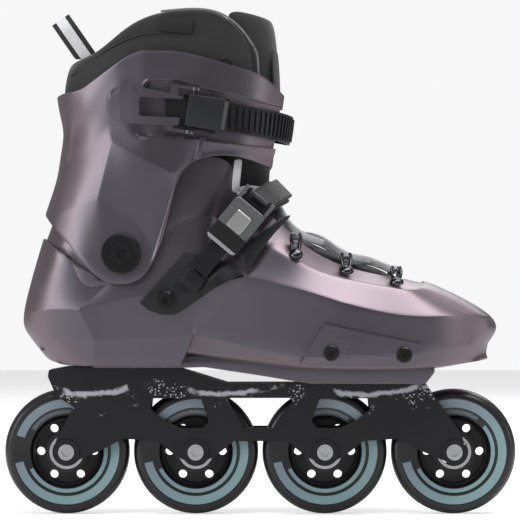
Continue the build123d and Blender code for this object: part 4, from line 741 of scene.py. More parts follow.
UNDERSIDE = [
    (130, 96.5), (130, 96.5), (122, 94.5), (108, 92.5), (87.6, 91), (51.1, 91), (23.6, 91.5), (-8.4, 94),
    (-44, 97), (-50, 95.5), (-75.6, 95.5), (-100, 95.5), (-112, 95.5), (-120, 95.5), (-126, 95.5),
]


def under_cuff(z):
    return 4.9 + 0.06 * abs(z - PIVOT[1])


def outer(p):
    return Vector((p[0], -p[1], p[2]))


def shell_columns():
    columns = []
    for column in FOOT_COLUMNS:
        rim, upper, side, lower, sole = (outer(p) for p in column)
        columns.append([rim, rim.lerp(upper, 0.6), upper, side, lower, sole])
    for n, column in enumerate(ANKLE_COLUMNS):
        if column[0] is None:
            top = Vector((leg_section(197.0)[0] + under_cuff(197.0), 0, 197.0))
            ledge = Vector((leg_section(175.4)[0] + under_cuff(175.4), 0, 175.4))
        else:
            top = side_point(*column[0], under_cuff(column[0][1]))
            ledge = side_point(*column[1], under_cuff(column[1][1]))
        step = 2.8 if n > 3 else 0.5 if n == 3 else 0.0
        out = (ledge - Vector((-85, 0, ledge.z))).normalized() * step
        columns.append([top, ledge + Vector((0, 0, 1 if n > 2 else 8)), ledge + out]
                       + [outer(p) for p in column[2:]])
    for n, (col, (x, z)) in enumerate(zip(columns, UNDERSIDE)):
        fuller = 1.2 if n < 11 else 2.6
        col.insert(5, col[4].lerp(col[5], 0.6) + (col[4] - col[3]).normalized() * fuller)
        col.append(Vector((x, 0, z)))
    return columns


def build_shell():
    """One-piece hard shell, creased along its facets, with the stiff bridge under the foot."""
    half = shell_columns()
    columns = both_halves(half)
    obj, index = lattice("boot_shell", columns)
    last = len(columns) - 1
    lines = []
    for side in (lambda i: i, lambda i: last - i):
        def run(row, start, stop):
            return [(side(i), row) for i in range(start, stop + 1)]
        lines.append((1.0, run(3, 1, 13)))
        lines.append((1.0, run(4, 7, 13)))
        lines.append((0.5, run(4, 0, 7)))
        lines.append((0.8, run(2, 2, 5)))
        lines.append((0.5, run(2, 5, 7)))
        lines.append((0.7, run(2, 11, 14)))
        lines.append((0.7, run(1, 11, 14)))
        lines.append((1.0, run(6, 1, 13)))
        lines.append((1.0, run(0, 0, 14)))
        lines.append((1.0, [(side(11), r) for r in (2, 3, 4, 5, 6)]))
        lines.append((1.0, [(side(9), r) for r in (4, 5, 6)]))
        lines.append((1.0, [(side(8), r) for r in (4, 5, 6)]))
        lines.append((1.0, [(side(5), r) for r in (1, 2, 3)]))
        lines.append((1.0, [(side(2), r) for r in (2, 3)]))
        lines.append((0.6, [(side(2), r) for r in (3, 4, 5, 6)]))
        lines.append((1.0, [(side(6), r) for r in (4, 5, 6)]))
    crease(obj, index, lines)
    corners = [(index[7, 3], index[8, 4]), (index[last - 7, 3], index[last - 8, 4])]
    ball = [(index[5, 3], index[6, 4]), (index[last - 5, 3], index[last - 6, 4])]
    shape = bmesh.new()
    shape.from_mesh(obj.data)
    shape.verts.ensure_lookup_table()
    layer = shape.edges.layers.float["crease_edge"]
    for a, b in corners + ball:
        made = bmesh.ops.connect_verts(shape, verts=[shape.verts[a], shape.verts[b]])["edges"]
        for edge in made:
            edge[layer] = 1.0
    shape.to_mesh(obj.data)
    shape.free()
    weld(obj)
    settle(obj)
    apply(obj, "SUBSURF", levels=3, boundary_smooth="PRESERVE_CORNERS")
    soften(obj, 0.9)
    for v in obj.data.vertices:
        v.co = swing(v.co / MM) * MM
    apply(obj, "SOLIDIFY", thickness=settings().shell_wall, offset=-1.0, use_even_offset=False)
    smooth(obj, 40)
    finish_piece(obj, "boot", finish_of("shell"), ["shell"])
    outline = [
        (-106.0, 94.2), (-51.3, 94.2), (-35.3, 94.6), (0.0, 89.3), (31.9, 84.0), (104.8, 84.0), (110.6, 91.3),
        (110.6, 98.0), (31.9, 99.0), (-35.0, 102.0), (-51.0, 102.0), (-107.0, 100.0),
    ]
    bridge = block("sole_bridge", outline, -31.0, 31.0, 1.0)
    finish_piece(bridge, "boot", finish_of("shell"))


# ---------------------------------------------------------------- cuff
CUFF_EDGES = [
    ((6.9, 221.1), (15.3, 266.9)),
    ((-12.7, 227.5), (1.2, 279.0)),
    ((-31.5, 227.8), (-18.7, 285.6)),
    ((-43.4, 223.4), (-36.0, 290.6)),
    ((-50.6, 215.4), (-51.3, 293.8)),
    ((-57.7, 197.1), (-60.3, 294.4)),
    ((-66.7, 165.1), (-70.5, 294.5)),
    ((-75.6, 151.0), (-75.6, 294.4)),
    ((-87.2, 147.2), (-84.6, 290.6)),
    ((-102.5, 151.7), (-93.0, 284.8)),
    ((-116.6, 167.0), (-105.7, 275.8)),
    ((-128.1, 179.8), (-115.3, 270.0)),
    ((-134.5, 187.3), (-124.3, 268.6)),
]


RECESS_LOW = [233.0, 234.8, 236.8, 238.6, 239.5, 240.4, 240.4, 240.5]
RECESS_HIGH = [260.0, 263.5, 268.0, 271.5, 275.8, 275.8, 275.3, 272.0]
RECESS_DEPTH = 1.3
LOWER_FACETS = [
    ((8.0, 224.0), (8.6, 229.0)),
    ((-12.4, 229.0), (-11.5, 232.0)),
    ((-31.2, 229.5), (-30.5, 232.0)),
    ((-43.2, 225.0), (-43.0, 228.0)),
    ((-50.8, 217.0), (-51.0, 220.0)),
    ((-58.3, 201.0), (-59.5, 219.5)),
    ((-67.2, 177.5), (-68.0, 223.9)),
    ((-76.5, 184.0), (-75.6, 227.7)),
    ((-88.8, 192.3), (-84.0, 232.0)),
    ((-102.0, 201.3), (-92.9, 236.4)),
    ((-113.0, 197.7), (-110.8, 225.0)),
    ((-122.0, 194.3), (-122.4, 220.0)),
    ((-133.0, 191.5), (-131.0, 215.0)),
]
CUFF_BULGE = {
    (9, 1): 1.0, (9, 2): 1.8, (8, 2): 2.4, (7, 2): 2.8, (6, 2): 2.8, (5, 2): 2.4, (4, 2): 1.2,
    (8, 1): -0.4, (7, 1): -0.8, (6, 1): -1.0, (10, 1): 0.8, (11, 1): 0.6, (12, 1): 0.4,
}


def cuff_columns():
    """Corners of the cuff: lower edge, two facet lines, the buckle's recess, upper edge."""
    columns = []
    for i, (low, high) in enumerate(CUFF_EDGES):
        def edge(z, low=low, high=high):
            x = low[0] + (high[0] - low[0]) * (z - low[1]) / (high[1] - low[1])
            return max(x, leg_section(z)[0] + 4.0)
        column = [side_point(*low)]
        for n, (x, z) in enumerate(LOWER_FACETS[i]):
            x = max(x, leg_section(z)[0] + 3.0)
            column.append(side_point(x, z, -CUFF_BULGE.get((i, n + 1), 0)))
        if i < len(RECESS_LOW):
            z0, z1 = RECESS_LOW[i], RECESS_HIGH[i]
            depth = RECESS_DEPTH
            rows = ((z0, -0.9), (z0 + 1.0, depth), (z1 - 1.0, depth), (z1, -0.4))
        else:
            z0 = LOWER_FACETS[i][1][1]
            rows = [(z0 + (high[1] - z0) * t, 0) for t in (0.2, 0.4, 0.6, 0.8)]
        column += [side_point(edge(z), z, inset) for z, inset in rows]
        columns.append(column + [side_point(*high)])
    columns.append([leg_point(180.0, z) for z in (191.7, 195.0, 212.0, 223.0, 234.0, 245.0, 256.0, 266.5)])
    return columns


RIB_LINE = ((-38.2, 240.0), (-40.0, 233.0), (-42.0, 226.0))  # side-view places down each rib
RIB_STEPS = (0.0, 1.8, 3.6)  # across the rib
RIB_DEPTH = -1.3  # below the leg form's skin
RIB_THICKNESS = 1.8


def facing_side(obj, sign):
    """Whether most of the piece's area faces the side of that sign."""
    return sum(f.normal.y * f.area for f in obj.data.polygons) * sign > 0


def build_cuff():
    """Hinged cuff round the ankle, open in front."""
    columns = both_halves(cuff_columns())
    obj, index = lattice("ankle_cuff", columns)
    last = len(columns) - 1
    lines = []
    for side in (lambda i: i, lambda i: last - i):
        lines.append((1.0, [(side(9), 1), (side(9), 2)]))
        lines.append((0.6, [(side(9), 2), (side(9), 3), (side(9), 4)]))
        lines.append((1.0, [(side(i), 1) for i in range(6, 14)]))
        lines.append((1.0, [(side(i), 2) for i in range(4, 10)]))
        for row in (3, 4, 5, 6):
            lines.append((0.7, [(side(i), row) for i in range(8)]))
        lines.append((1.0, [(side(i), 0) for i in range(14)]))
        lines.append((1.0, [(side(i), 7) for i in range(14)]))
    lines.append((1.0, [(0, r) for r in range(8)]))
    lines.append((1.0, [(last, r) for r in range(8)]))
    crease(obj, index, lines)
    settle(obj)
    apply(obj, "SUBSURF", levels=3, boundary_smooth="ALL")
    weld(obj, 0.002)
    soften(obj, 0.5)
    apply(obj, "SOLIDIFY", thickness=settings().cuff_wall, offset=-1.0)
    apply(obj, "BEVEL", width=0.5 * MM, segments=2, limit_method="ANGLE", angle_limit=math.radians(60))
    smooth(obj, 40)
    finish_piece(obj, "cuff", finish_of("cuff"), ["cuff"])
    for side in (1, -1):
        grid = [[side_point(x + t, z, RIB_DEPTH) for t in RIB_STEPS] for x, z in RIB_LINE]
        if side == -1:
            grid = [[mirrored(p) for p in row] for row in grid]
        rib, _ = lattice("cuff_rib", grid)
        weld(rib)
        apply(rib, "SOLIDIFY", thickness=RIB_THICKNESS * MM, offset=-1.0 if facing_side(rib, -side) else 1.0)
        apply(rib, "BEVEL", width=0.45 * MM, segments=3, limit_method="ANGLE", angle_limit=math.radians(35))
        smooth(rib)
        finish_piece(rib, "cuff", finish_of("cuff"))


# ---------------------------------------------------------------- liner
LINER_TOP = [
    (-1.5, 298.0), (-4.2, 305.6), (-12.6, 315.1), (-25.3, 323.1), (-41.3, 324.7), (-64.8, 322.0),
    (-78.5, 317.8), (-92.3, 309.8), (-106.0, 298.2), (-115.0, 294.5),
]
COLLAR_ANGLES = [47, 52, 60, 68, 78, 88, 98, 108, 118, 128, 138, 150, 160, 170, 180]


COLLAR_BACK = (180.0, 289.5)  # angle and height of the collar's top at the back


def height_at(line, place):
    """The height on a line of (place, height) pairs, level beyond its ends."""
    if place <= line[0][0]:
        return line[0][1]
    for (p0, z0), (p1, z1) in zip(line, line[1:]):
        if place <= p1:
            return z0 + (z1 - z0) * (place - p0) / max(p1 - p0, 1e-6)
    return line[-1][1]


def liner_top(angle):
    """Height of the collar's top edge at that angle round the leg."""
    return height_at([(leg_angle(x, z), z) for x, z in LINER_TOP] + [COLLAR_BACK], angle)


SEAM = [
    (-124.0, 279.7), (-107.0, 291.8), (-92.0, 299.5), (-78.5, 305.0),
    (-66.0, 306.0), (-45.0, 304.6), (-1.0, 297.6),
]


def seam_height(x):
    """Height of the collar's seam at that length along the boot."""
    return height_at(SEAM, x)


# The collar's lower edge by angle round the leg, clear of the boot as the cuff swings.
COLLAR_LOW = [(72, 234.0), (84, 231.0), (100, 228.5), (120, 219.0)]


def build_liner():
    """Padded collar inside the cuff, with a corded front edge."""
    columns = []
    for angle in COLLAR_ANGLES:
        top = liner_top(angle) - 1.6
        low = next((z for limit, z in COLLAR_LOW if angle < limit), 212.0)
        column = []
        for n in range(9):
            z = low + (top - low) * n / 8
            inset = (5.8, 5.8, 5.8, 5.6, 4.9, 4.3, 4.0, 4.3, 5.6)[n]
            column.append(leg_point(angle, z, inset))
        columns.append(column)
    obj, _ = lattice("liner_collar", both_halves(columns))
    weld(obj)
    apply(obj, "SOLIDIFY", thickness=settings().collar_padding, offset=-1.0)
    apply(obj, "SUBSURF", levels=3)
    smooth(obj, 60)
    obj.data.materials.append(finish_of("smooth_liner"))
    obj.data.materials.append(finish_of("liner"))
    obj.data.materials.append(finish_of("lining"))
    for face in obj.data.polygons:
        c = face.center / MM
        middle = Vector((-60.0, 0, c.z))
        inside = (c - middle).dot(face.normal) < -2
        face.material_index = 2 if inside else 1 if c.z > seam_height(c.x) else 0
    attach(obj, "cuff")
    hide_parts("collar")
    for side in (1, -1):
        label = "outer" if side == 1 else "inner"
        line = [leg_point(side * a, liner_top(a) - 2.6, 4.4) for a in (96, 87, 78, 68, 58, 50, 44)]
        line += [leg_point(side * 42.5, z, 4.6) for z in (292, 284, 274, 262)]
        finish_piece(tube("collar_piping_" + label, line, 0.7), "cuff", finish_of("piping"))
        line = [side_point(x, z, 3.9) for x, z in SEAM]
        line = line if side == 1 else [mirrored(p) for p in line]
        finish_piece(tube("collar_seam_" + label, line, 0.45), "cuff", finish_of("smooth_liner"))
    arc = [side_point(-19.5 + 4.5 * math.cos(a), 285.5 + 5.0 * math.sin(a), 4.1)
           for a in (3.1, 2.6, 2.1, 1.6, 1.1, 0.6, 0.0, -0.5)]
    finish_piece(tube("collar_emboss", arc, 0.4), "cuff", finish_of("smooth_liner"))
    tag = [[side_point(x + (z - 306) * 0.12, z - (x + 64) * 0.09, 3.0) for z in (307.2, 311.5, 315.8)]
           for x in (-64, -57, -50, -42.5)]
    badge, _ = lattice("collar_label", tag)
    weld(badge)
    apply(badge, "SOLIDIFY", thickness=0.6 * MM, offset=-1.0)
    apply(badge, "BEVEL", width=0.25 * MM, segments=2, limit_method="ANGLE", angle_limit=math.radians(40))
    smooth(badge)
    finish_piece(badge, "cuff", finish_of("label"))


# Middle of the tongue's top: x, z, half its width, how far its edges sweep back.
TONGUE_LINE = [
    (87.0, 150.0, 9.0, 1.0), (80.0, 155.5, 11.5, 1.0), (70.0, 159.0, 13.0, 1.0), (57.5, 163.0, 14.0, 1.0),
    (44.7, 168.0, 15.0, 1.0), (31.9, 173.5, 17.0, 2.0), (22.0, 181.0, 20.0, 5.0), (12.0, 191.5, 25.0, 11.0),
    (5.5, 203.0, 30.5, 23.0),
]
SHARES = (-1.0, -0.7, -0.3, 0.0, 0.3, 0.7, 1.0)
TONGUE_TUCK = (13.6, 11.2, 6.4, 6.0, 6.4, 11.2, 13.6)
TONGUE_TOP = (322.5, 321.5, 317.8, 316.5, 317.8, 321.5, 322.5)


def build_tongue():
    """One padded tongue from the toe up to the shin, bending where the cuff swings."""
    columns = []
    for x, z, half, sweep in TONGUE_LINE:
        columns.append([swing((x - sweep * s * s, -s * half, z - 3.0 * s * s)) for s in SHARES])
    for n in range(9):
        spread = 62 - 4 * min(1.0, n / 3)
        column = []
        for s, tuck, top in zip(SHARES, TONGUE_TUCK, TONGUE_TOP):
            z = 222.0 + (top - 222.0) * n / 8
            inset = tuck + (1.2 if n == 8 else 0)
            column.append(leg_point(s * spread, z, inset))
        columns.append(column)
    obj, _ = lattice("tongue", columns)
    weld(obj)
    apply(obj, "SOLIDIFY", thickness=5.5 * MM, offset=-1.0)
    apply(obj, "SUBSURF", levels=2)
    smooth(obj, 60)
    obj.data.materials.append(finish_of("liner"))
    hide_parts("tongue_lower", "tongue_upper")
    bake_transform(obj, "boot", "cuff", start=(0.0055, 0, 0.203), end=(0.012, 0, 0.234))
    patch = [[leg_point(a, z, 5.6) for z in (262.0, 280.0, 296.0)] for a in (-24, -8, 8, 24)]
    badge, _ = lattice("tongue_patch", patch)
    weld(badge)
    apply(badge, "SOLIDIFY", thickness=1.0 * MM, offset=-1.0)
    apply(badge, "SUBSURF", levels=2)
    smooth(badge)
    finish_piece(badge, "cuff", finish_of("smooth_liner"))


# ---------------------------------------------------------------- laces
# The lace's corners: outer eyelet, over the rim, zigzag to the toe, zigzag back, inner eyelet.
LACE_ROUTE = [
    (-15.0, -33.0, 205.5), (-6.0, -33.5, 208.8), (8.2, -0.7, 203.6), (22.5, 32.0, 178.8), (38.5, 4.9, 177.6),
    (54.5, -22.2, 164.6), (70.5, 0.1, 162.7), (86.5, 22.3, 155.3), (86.5, 2.1, 157.4), (86.5, -18.0, 155.5),
    (70.5, 2.6, 162.0), (54.5, 23.3, 164.5), (38.5, -4.4, 174.4), (22.5, -32.0, 178.8), (8.2, 0.7, 200.4),
    (-6.0, 33.5, 208.8), (-15.0, 33.0, 205.5),
]
HOOK_PLACES = [
    ((22.5, -39.9, 165.6), (0.0, -0.7, 0.71)),
    ((54.5, -34.1, 154.9), (0.0, -0.42, 0.91)),
    ((86.5, -31.2, 147.6), (0.0, -0.29, 0.96)),
    ((22.5, 39.9, 165.6), (0.0, 0.7, 0.71)),
    ((54.5, 35.2, 154.8), (0.0, 0.42, 0.91)),
    ((86.5, 35.5, 147.4), (0.0, 0.29, 0.96)),
]


def ribbon(name, points, width, thick, order=3):
    """A flat woven cord along a smooth line through space, in millimetres, as a mesh."""
    deselect()
    bpy.ops.curve.primitive_nurbs_path_add()
    obj = bpy.context.object
    obj.name = name
    obj.data.splines.clear()
    spline = obj.data.splines.new("NURBS")
    spline.points.add(len(points) - 1)
    for p, co in zip(spline.points, points):
        p.co = (*(Vector(co) * MM), 1)
    spline.order_u = order
    spline.use_endpoint_u = True
    obj.data.dimensions = "3D"
    obj.data.twist_mode = "Z_UP"
    obj.data.extrude = (width / 2 - thick / 2) * MM
    obj.data.bevel_depth = thick / 2 * MM
    obj.data.bevel_resolution = 2
    obj.data.resolution_u = 16
    obj.data.use_fill_caps = True
    pick(obj)
    bpy.ops.object.convert(target="MESH")
    obj = named(name)
    weld(obj, 0.002)
    smooth(obj, 50)
    return obj


def rivet(name, origin, normal, radius, rise):
    """A domed rivet head standing on a plane."""
    profile = [(0, 1.0), (0.35, 0.94), (0.66, 0.76), (0.88, 0.46), (1.0, 0.14), (1.0, -0.3)]
    deselect()
    bpy.ops.mesh.primitive_cylinder_add(vertices=24, radius=radius * MM, depth=0.3 * rise * MM,
                                        end_fill_type="NGON")
    obj = named(name)
    pick(obj)
    bpy.ops.object.mode_set(mode="EDIT")
    bpy.ops.mesh.select_all(action="DESELECT")
    bpy.ops.object.mode_set(mode="OBJECT")
    for face in obj.data.polygons:
        face.select = face.normal.z > 0.9
    bpy.ops.object.mode_set(mode="EDIT")
    for (r0, z0), (r1, z1) in zip(profile[-2::-1], profile[-3::-1]):
        if r1 == 0:
            break
        bpy.ops.mesh.extrude_region_move(TRANSFORM_OT_translate={"value": (0, 0, (z1 - z0) * rise * MM)})
        bpy.ops.transform.resize(value=(r1 / r0, r1 / r0, 1))
    bpy.ops.mesh.select_all(action="SELECT")
    bpy.ops.mesh.normals_make_consistent(inside=False)
    bpy.ops.object.mode_set(mode="OBJECT")
    turn = Vector(normal).to_track_quat("Z", "Y").to_matrix().to_4x4()
    obj.data.transform(Matrix.Translation(Vector(origin) * MM) @ turn)
    smooth(obj, 50)
    return obj


def build_laces():
    lace = ribbon("flat_lace", LACE_ROUTE, settings().lace_width / MM, 2.2)
    finish_piece(lace, "boot", finish_of("lace"), ["lace"])
    for side, label in ((-1, "outer"), (1, "inner")):
        tail = [(-15.0, side * 32.0, 205.4), (-15.6, side * 36.2, 207.5), (-15.2, side * 37.4, 213.0),
                (-14.6, side * 36.2, 219.0), (-14.2, side * 34.8, 223.0), (-14.0, side * 33.8, 226.5)]
        strip = [[Vector(p) + Vector((x, 0, 0)) for x in (-2.6, 0.0, 2.6)] for p in tail]
        made, _ = lattice("lace_tail_" + label, strip)
        weld(made)
        apply(made, "SOLIDIFY", thickness=1.3 * MM, offset=0.0)
        apply(made, "SUBSURF", levels=2)
        smooth(made, 60)
        finish_piece(made, "boot", finish_of("lace"))
    for n, (place, normal) in enumerate(HOOK_PLACES, 1):
        side = -1 if place[1] < 0 else 1
        normal = Vector(normal)
        up = Vector((0, -side * normal.z, abs(normal.y)))
        foot = Vector(place) + normal * 1.5
        head = rivet(f"hook_rivet_{n}", foot, normal, 4.3, 2.4)
        finish_piece(head, "boot", finish_of("hook"))
        for sign in (-1, 1):
            arm = foot + Vector((sign * 2.2, 0, 0))
            wire = [arm, arm + up * 4.5 + normal * 1.0,
                    foot + Vector((sign * 3.1, 0, 0)) + up * 8.5 + normal * 2.2,
                    foot + Vector((sign * 3.3, 0, 0)) + up * 11.5 + normal * 4.2,
                    foot + Vector((sign * 2.0, 0, 0)) + up * 12.5 + normal * 6.0]
            made = tube(f"hook_wire_{n}_{'ab'[sign > 0]}", wire, 0.95)
            finish_piece(made, "boot", finish_of("hook"))


# ---------------------------------------------------------------- straps and pads
STRAP_FRAME = ((-15.0, -47.6, 187.6), (0.6402, 0, 0.7682), (-0.7682, 0, 0.6402))
PIN_FRAME = ((-42.7, -53.116, 256.3), (0.988, 0, -0.155), (0.155, 0, 0.988))
PAD_PATH = [
    (-0.5, -44.5, 198.5), (6.5, -34.0, 203.6), (11.0, -20.0, 206.4), (13.2, -7.0, 207.5),
    (13.2, 7.0, 207.5), (11.0, 20.0, 206.4), (6.5, 34.0, 203.6), (-0.5, 44.5, 198.5),
]


def pad_lattice(name, shares, low, high, crown=0.0):
    """A band over the instep: shares of its width, and how far it stands out at its middle and edges."""
    columns = []
    for x, y, z in PAD_PATH:
        middle = Vector((x, y, z))
        out = Vector((0.75 * (1 - abs(y) / 60), y / 44.5, 0.62 * (1 - abs(y) / 60))).normalized()
        across = Vector((-0.70, 0, 0.714)) if abs(y) < 30 else Vector((-0.79, 0, 0.61))
        columns.append([
            middle + across * s + out * (high + crown * (1 - (s / shares[-1]) ** 2)) for s in shares
        ])
    obj, _ = lattice(name, columns)
    weld(obj)
    apply(obj, "SOLIDIFY", thickness=(high - low) * MM, offset=-1.0 if facing_out(obj) else 1.0)
    return obj


BOOT_MIDDLE = Vector((-0.02, 0, 0.18))  # in metres, inside the boot


def facing_out(obj):
    """Whether most of the piece's area faces away from the middle of the boot."""
    return sum((f.center - BOOT_MIDDLE).dot(f.normal) * f.area for f in obj.data.polygons) > 0


def build_straps():
    pad = pad_lattice("instep_pad_ribbed", (-7.6, -6.4, 0.0, 6.4, 7.6), 0.3, 3.3)
    apply(pad, "SUBSURF", levels=3)
    smooth(pad, 40)
    finish_piece(pad, "boot", finish_of("ribbed"), ["instep_pad"])
    cushion = pad_lattice("instep_cushion_soft", (-9.4, -6.0, 0.0, 6.0, 9.4), -2.9, -0.5, 0.3)
    apply(cushion, "SUBSURF", levels=3)
    smooth(cushion, 60)
    finish_piece(cushion, "boot", finish_of("smooth_liner"), ["instep_cushion"])
    shield = [
        [(14.0, -39.5, 190.5), (3.0, -47.2, 181.6), (-6.0, -50.4, 175.0), (-13.5, -51.2, 169.0)],
        [(17.5, -37.5, 191.0), (6.0, -46.4, 181.0), (-3.0, -50.6, 172.0), (-12.0, -51.6, 162.5)],
        [(21.5, -34.5, 192.0), (11.0, -44.0, 182.0), (1.0, -49.6, 169.0), (-10.0, -51.8, 152.0)],
    ]
    flap, _ = lattice("instep_shield", shield)
    weld(flap)
    apply(flap, "SOLIDIFY", thickness=1.6 * MM, offset=0.0)
    apply(flap, "SUBSURF", levels=2, boundary_smooth="PRESERVE_CORNERS")
    smooth(flap, 50)
    finish_piece(flap, "boot", finish_of("strap"))
    raised = slab("strap_raised_square", STRAP_FRAME,
                  [(-41.5, -7.2), (-30.0, -7.2), (-30.0, 5.2), (-41.5, 5.2)], 0.6, 2.6, 0.5)
    raised.data.transform(Matrix.Translation(Vector((-0.0055, 0, -0.010))))
    finish_piece(raised, "boot", finish_of("strap"))
    plate = slab("ratchet_plate", PIN_FRAME,
                 [(-3.2, -10.0), (20.0, -10.2), (21.5, 0), (20.0, 10.2), (-3.2, 10.0)], 1.9, 3.4, 0.5)
    finish_piece(plate, "cuff_pawl", finish_of("smooth_black"))


# ---------------------------------------------------------------- finishes of the CAD pieces
PLAIN_FINISHES = {
    "mount_plates": "steel", "mount_bolts": "dark_steel", "mount_washers": "steel",
    "footbed": "footbed", "shock_pad": "pad", "lace_hooks": "dark_steel", "lace_eyelets": "dark_steel",
    "side_guards": "shell", "guard_screws": "black", "instep_base": "strap", "instep_ladder": "strap",
    "instep_housing": "black", "instep_pin": "dark_steel", "instep_lever": "buckle_body",
    "instep_button": "button",
    "inner_strap": "webbing",
    "strap_screws": "black", "pivot_bolts": "black", "pivot_caps": "black", "pull_loop": "loop",
    "cuff_base": "black", "cuff_pins": "black", "cuff_lever": "shell", "cuff_pawl": "black",
    "cuff_ladder": "strap", "cuff_screws": "dark_steel", "axles": "steel", "axle_screws": "steel",
    "inner_races": "steel", "spacers": "steel", "frame": "frame",
}


def tuck_liner_heel():
    """A copy of the liner's shoe with its heel corner rounded to follow the shell."""
    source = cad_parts["liner_boot"]
    obj = source.copy()
    obj.data = source.data.copy()
    obj.name = "liner_shoe"
    bpy.context.scene.collection.objects.link(obj)
    obj.parent = None
    weld(obj, 0.001)
    for v in obj.data.vertices:
        reach = -0.1345 - 0.0125 * min(1.0, max(0.0, (v.co.z - 0.100) / 0.024)) ** 0.5
        if v.co.x < reach:
            v.co.x = reach
    smooth(obj, 40)
    finish_piece(obj, "boot", finish_of("smooth_liner"), ["liner_boot"])


def dress_hardware():
    tuck_liner_heel()
    for name, finish in PLAIN_FINISHES.items():
        paint(name, finish)
    for name in ("frame", "side_guards", "instep_base", "pivot_caps", "cuff_lever", "instep_lever"):
        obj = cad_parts[name]
        mod = obj.modifiers.new("Edges", "BEVEL")
        mod.width = 0.35 * MM
        mod.segments = 2
        mod.limit_method = "ANGLE"
        mod.angle_limit = math.radians(30)
    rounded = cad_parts["instep_button"].modifiers.new("Edges", "BEVEL")
    rounded.width = 1.1 * MM
    rounded.segments = 4
    rounded.limit_method = "ANGLE"
    rounded.angle_limit = math.radians(40)


def dress_wheels():
    for n in range(1, 5):
        paint(f"tyre_{n}", "tyre")
        paint(f"hub_{n}", "hub")
        paint(f"outer_races_{n}", "steel")
        paint(f"balls_{n}", "steel")
        paint(f"cages_{n}", "brass")


# ---------------------------------------------------------------- stage
def build_stage():
    """Pale floor, soft studio lights and a long lens level with the boot."""
    deselect()
    bpy.ops.mesh.primitive_plane_add(size=6, location=(0, 0, 0))
    floor = named("studio_floor")
    mat, tree, shader, coords = material("floor_white", (0.86, 0.86, 0.87), 0.75)
    shader.inputs["Emission Color"].default_value = (1, 1, 1, 1)
    glow = calc(tree, "MULTIPLY", node(tree, "ShaderNodeLightPath").outputs["Is Camera Ray"], 0.55)
    tree.links.new(glow, shader.inputs["Emission Strength"])
    noise = node(tree, "ShaderNodeTexNoise", {"Vector": coords, "Scale": 3.0})
    tree.links.new(blend_colours(tree, noise.outputs[0], (0.85, 0.85, 0.86), (0.88, 0.88, 0.88)),
                   shader.inputs["Base Color"])
    floor.data.materials.append(mat)
    scene = bpy.context.scene
    world = bpy.data.worlds.new("studio")
    world.use_nodes = True
    tree = world.node_tree
    soft = tree.nodes["Background"]
    soft.inputs[0].default_value = (1, 1, 1, 1)
    soft.inputs[1].default_value = 0.2
    backdrop = node(tree, "ShaderNodeBackground", {"Color": (1, 1, 1, 1), "Strength": 0.93})
    seen = tree.nodes.new("ShaderNodeLightPath").outputs["Is Camera Ray"]
    mixed = tree.nodes.new("ShaderNodeMixShader")
    tree.links.new(seen, mixed.inputs[0])
    tree.links.new(soft.outputs[0], mixed.inputs[1])
    tree.links.new(backdrop.outputs[0], mixed.inputs[2])
    tree.links.new(mixed.outputs[0], tree.nodes["World Output"].inputs["Surface"])
    scene.world = world
    for name, place, size, power in (
        ("left", (-1.7, -1.1, 0.7), 1.2, 21.0),
        ("high", (-0.3, -0.9, 1.7), 0.8, 9.0),
        ("top", (0.45, -0.1, 1.5), 0.9, 15.0),
        ("right", (1.7, -0.7, 0.4), 0.6, 3.0),
        ("back", (0.3, 1.5, 1.2), 1.0, 8.0),
    ):
        deselect()
        bpy.ops.object.light_add(type="AREA", location=place)
        lamp = bpy.context.object
        lamp.name = name
        lamp.data.size = size
        lamp.data.energy = power
        aim = Vector((0, 0, 0.17)) - Vector(place)
        lamp.rotation_euler = aim.to_track_quat("-Z", "Y").to_euler()
    scene.view_settings.view_transform = "Standard"
    deselect()
    bpy.ops.object.camera_add(location=(-0.0002, -2.32, 0.1626), rotation=(math.radians(90), 0, 0))
    camera = bpy.context.object
    camera.data.lens = 250
    camera.data.sensor_width = 36
    camera.data.clip_end = 20
    scene.camera = camera


# ---------------------------------------------------------------- operators
class SKATE_OT_stage(bpy.types.Operator):
    """Adds the floor, the lights and the camera"""

    bl_idname = "skate.stage"
    bl_label = "Stage"

    def execute(self, context):
        build_stage()
        return {"FINISHED"}


class SKATE_OT_shell(bpy.types.Operator):
    """Builds the hard shell and the bridge under the foot"""

    bl_idname = "skate.shell"
    bl_label = "Boot shell"

    def execute(self, context):
        build_shell()
        return {"FINISHED"}


class SKATE_OT_cuff(bpy.types.Operator):
    """Builds the hinged cuff with its facets and buckle recess"""

    bl_idname = "skate.cuff"
    bl_label = "Cuff"

    def execute(self, context):
        build_cuff()
        return {"FINISHED"}


class SKATE_OT_liner(bpy.types.Operator):
    """Builds the padded collar with its piping, seam and label"""

    bl_idname = "skate.liner"
    bl_label = "Liner collar"

    def execute(self, context):
        build_liner()
        return {"FINISHED"}


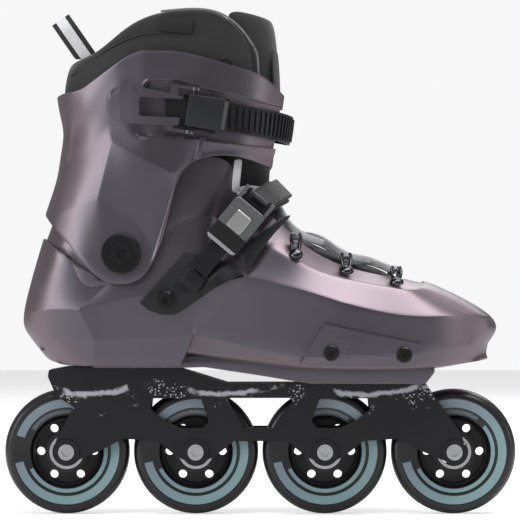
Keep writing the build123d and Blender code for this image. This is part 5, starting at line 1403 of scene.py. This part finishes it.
class SKATE_OT_tongue(bpy.types.Operator):
    """Builds the padded tongue"""

    bl_idname = "skate.tongue"
    bl_label = "Tongue"

    def execute(self, context):
        build_tongue()
        return {"FINISHED"}


class SKATE_OT_laces(bpy.types.Operator):
    """Builds the flat laces and their hooks"""

    bl_idname = "skate.laces"
    bl_label = "Laces"

    def execute(self, context):
        build_laces()
        return {"FINISHED"}


class SKATE_OT_buckles(bpy.types.Operator):
    """Builds the ratchet plate, the pads and the instep shield"""

    bl_idname = "skate.buckles"
    bl_label = "Buckles and straps"

    def execute(self, context):
        build_straps()
        return {"FINISHED"}


class SKATE_OT_hardware(bpy.types.Operator):
    """Finishes the buckles, straps, screws and frame"""

    bl_idname = "skate.hardware"
    bl_label = "Hardware"

    def execute(self, context):
        dress_hardware()
        return {"FINISHED"}


class SKATE_OT_wheels(bpy.types.Operator):
    """Finishes the wheels and bearings"""

    bl_idname = "skate.wheels"
    bl_label = "Wheels"

    def execute(self, context):
        dress_wheels()
        return {"FINISHED"}


STEPS = [
    SKATE_OT_stage,
    SKATE_OT_shell,
    SKATE_OT_cuff,
    SKATE_OT_liner,
    SKATE_OT_tongue,
    SKATE_OT_laces,
    SKATE_OT_buckles,
    SKATE_OT_hardware,
    SKATE_OT_wheels,
]


class SKATE_PT_panel(bpy.types.Panel):
    """Buttons that build the skate piece by piece"""

    bl_label = "Inline skate"
    bl_idname = "SKATE_PT_panel"
    bl_space_type = "VIEW_3D"
    bl_region_type = "UI"
    bl_category = "Skate"

    def draw(self, context):
        for key in SkateSettings.__annotations__:
            self.layout.prop(context.scene.skate_settings, key)
        for step in STEPS:
            self.layout.operator(step.bl_idname)


CLASSES = [SkateSettings, SKATE_PT_panel] + STEPS


def register():
    for cls in CLASSES:
        bpy.utils.register_class(cls)
    bpy.types.Scene.skate_settings = bpy.props.PointerProperty(type=SkateSettings)


def unregister():
    del bpy.types.Scene.skate_settings
    for cls in reversed(CLASSES):
        bpy.utils.unregister_class(cls)


def main():
    register()
    for step in STEPS:
        group_name, op_name = step.bl_idname.split(".")
        getattr(getattr(bpy.ops, group_name), op_name)()


if __name__ == "__main__":
    main()
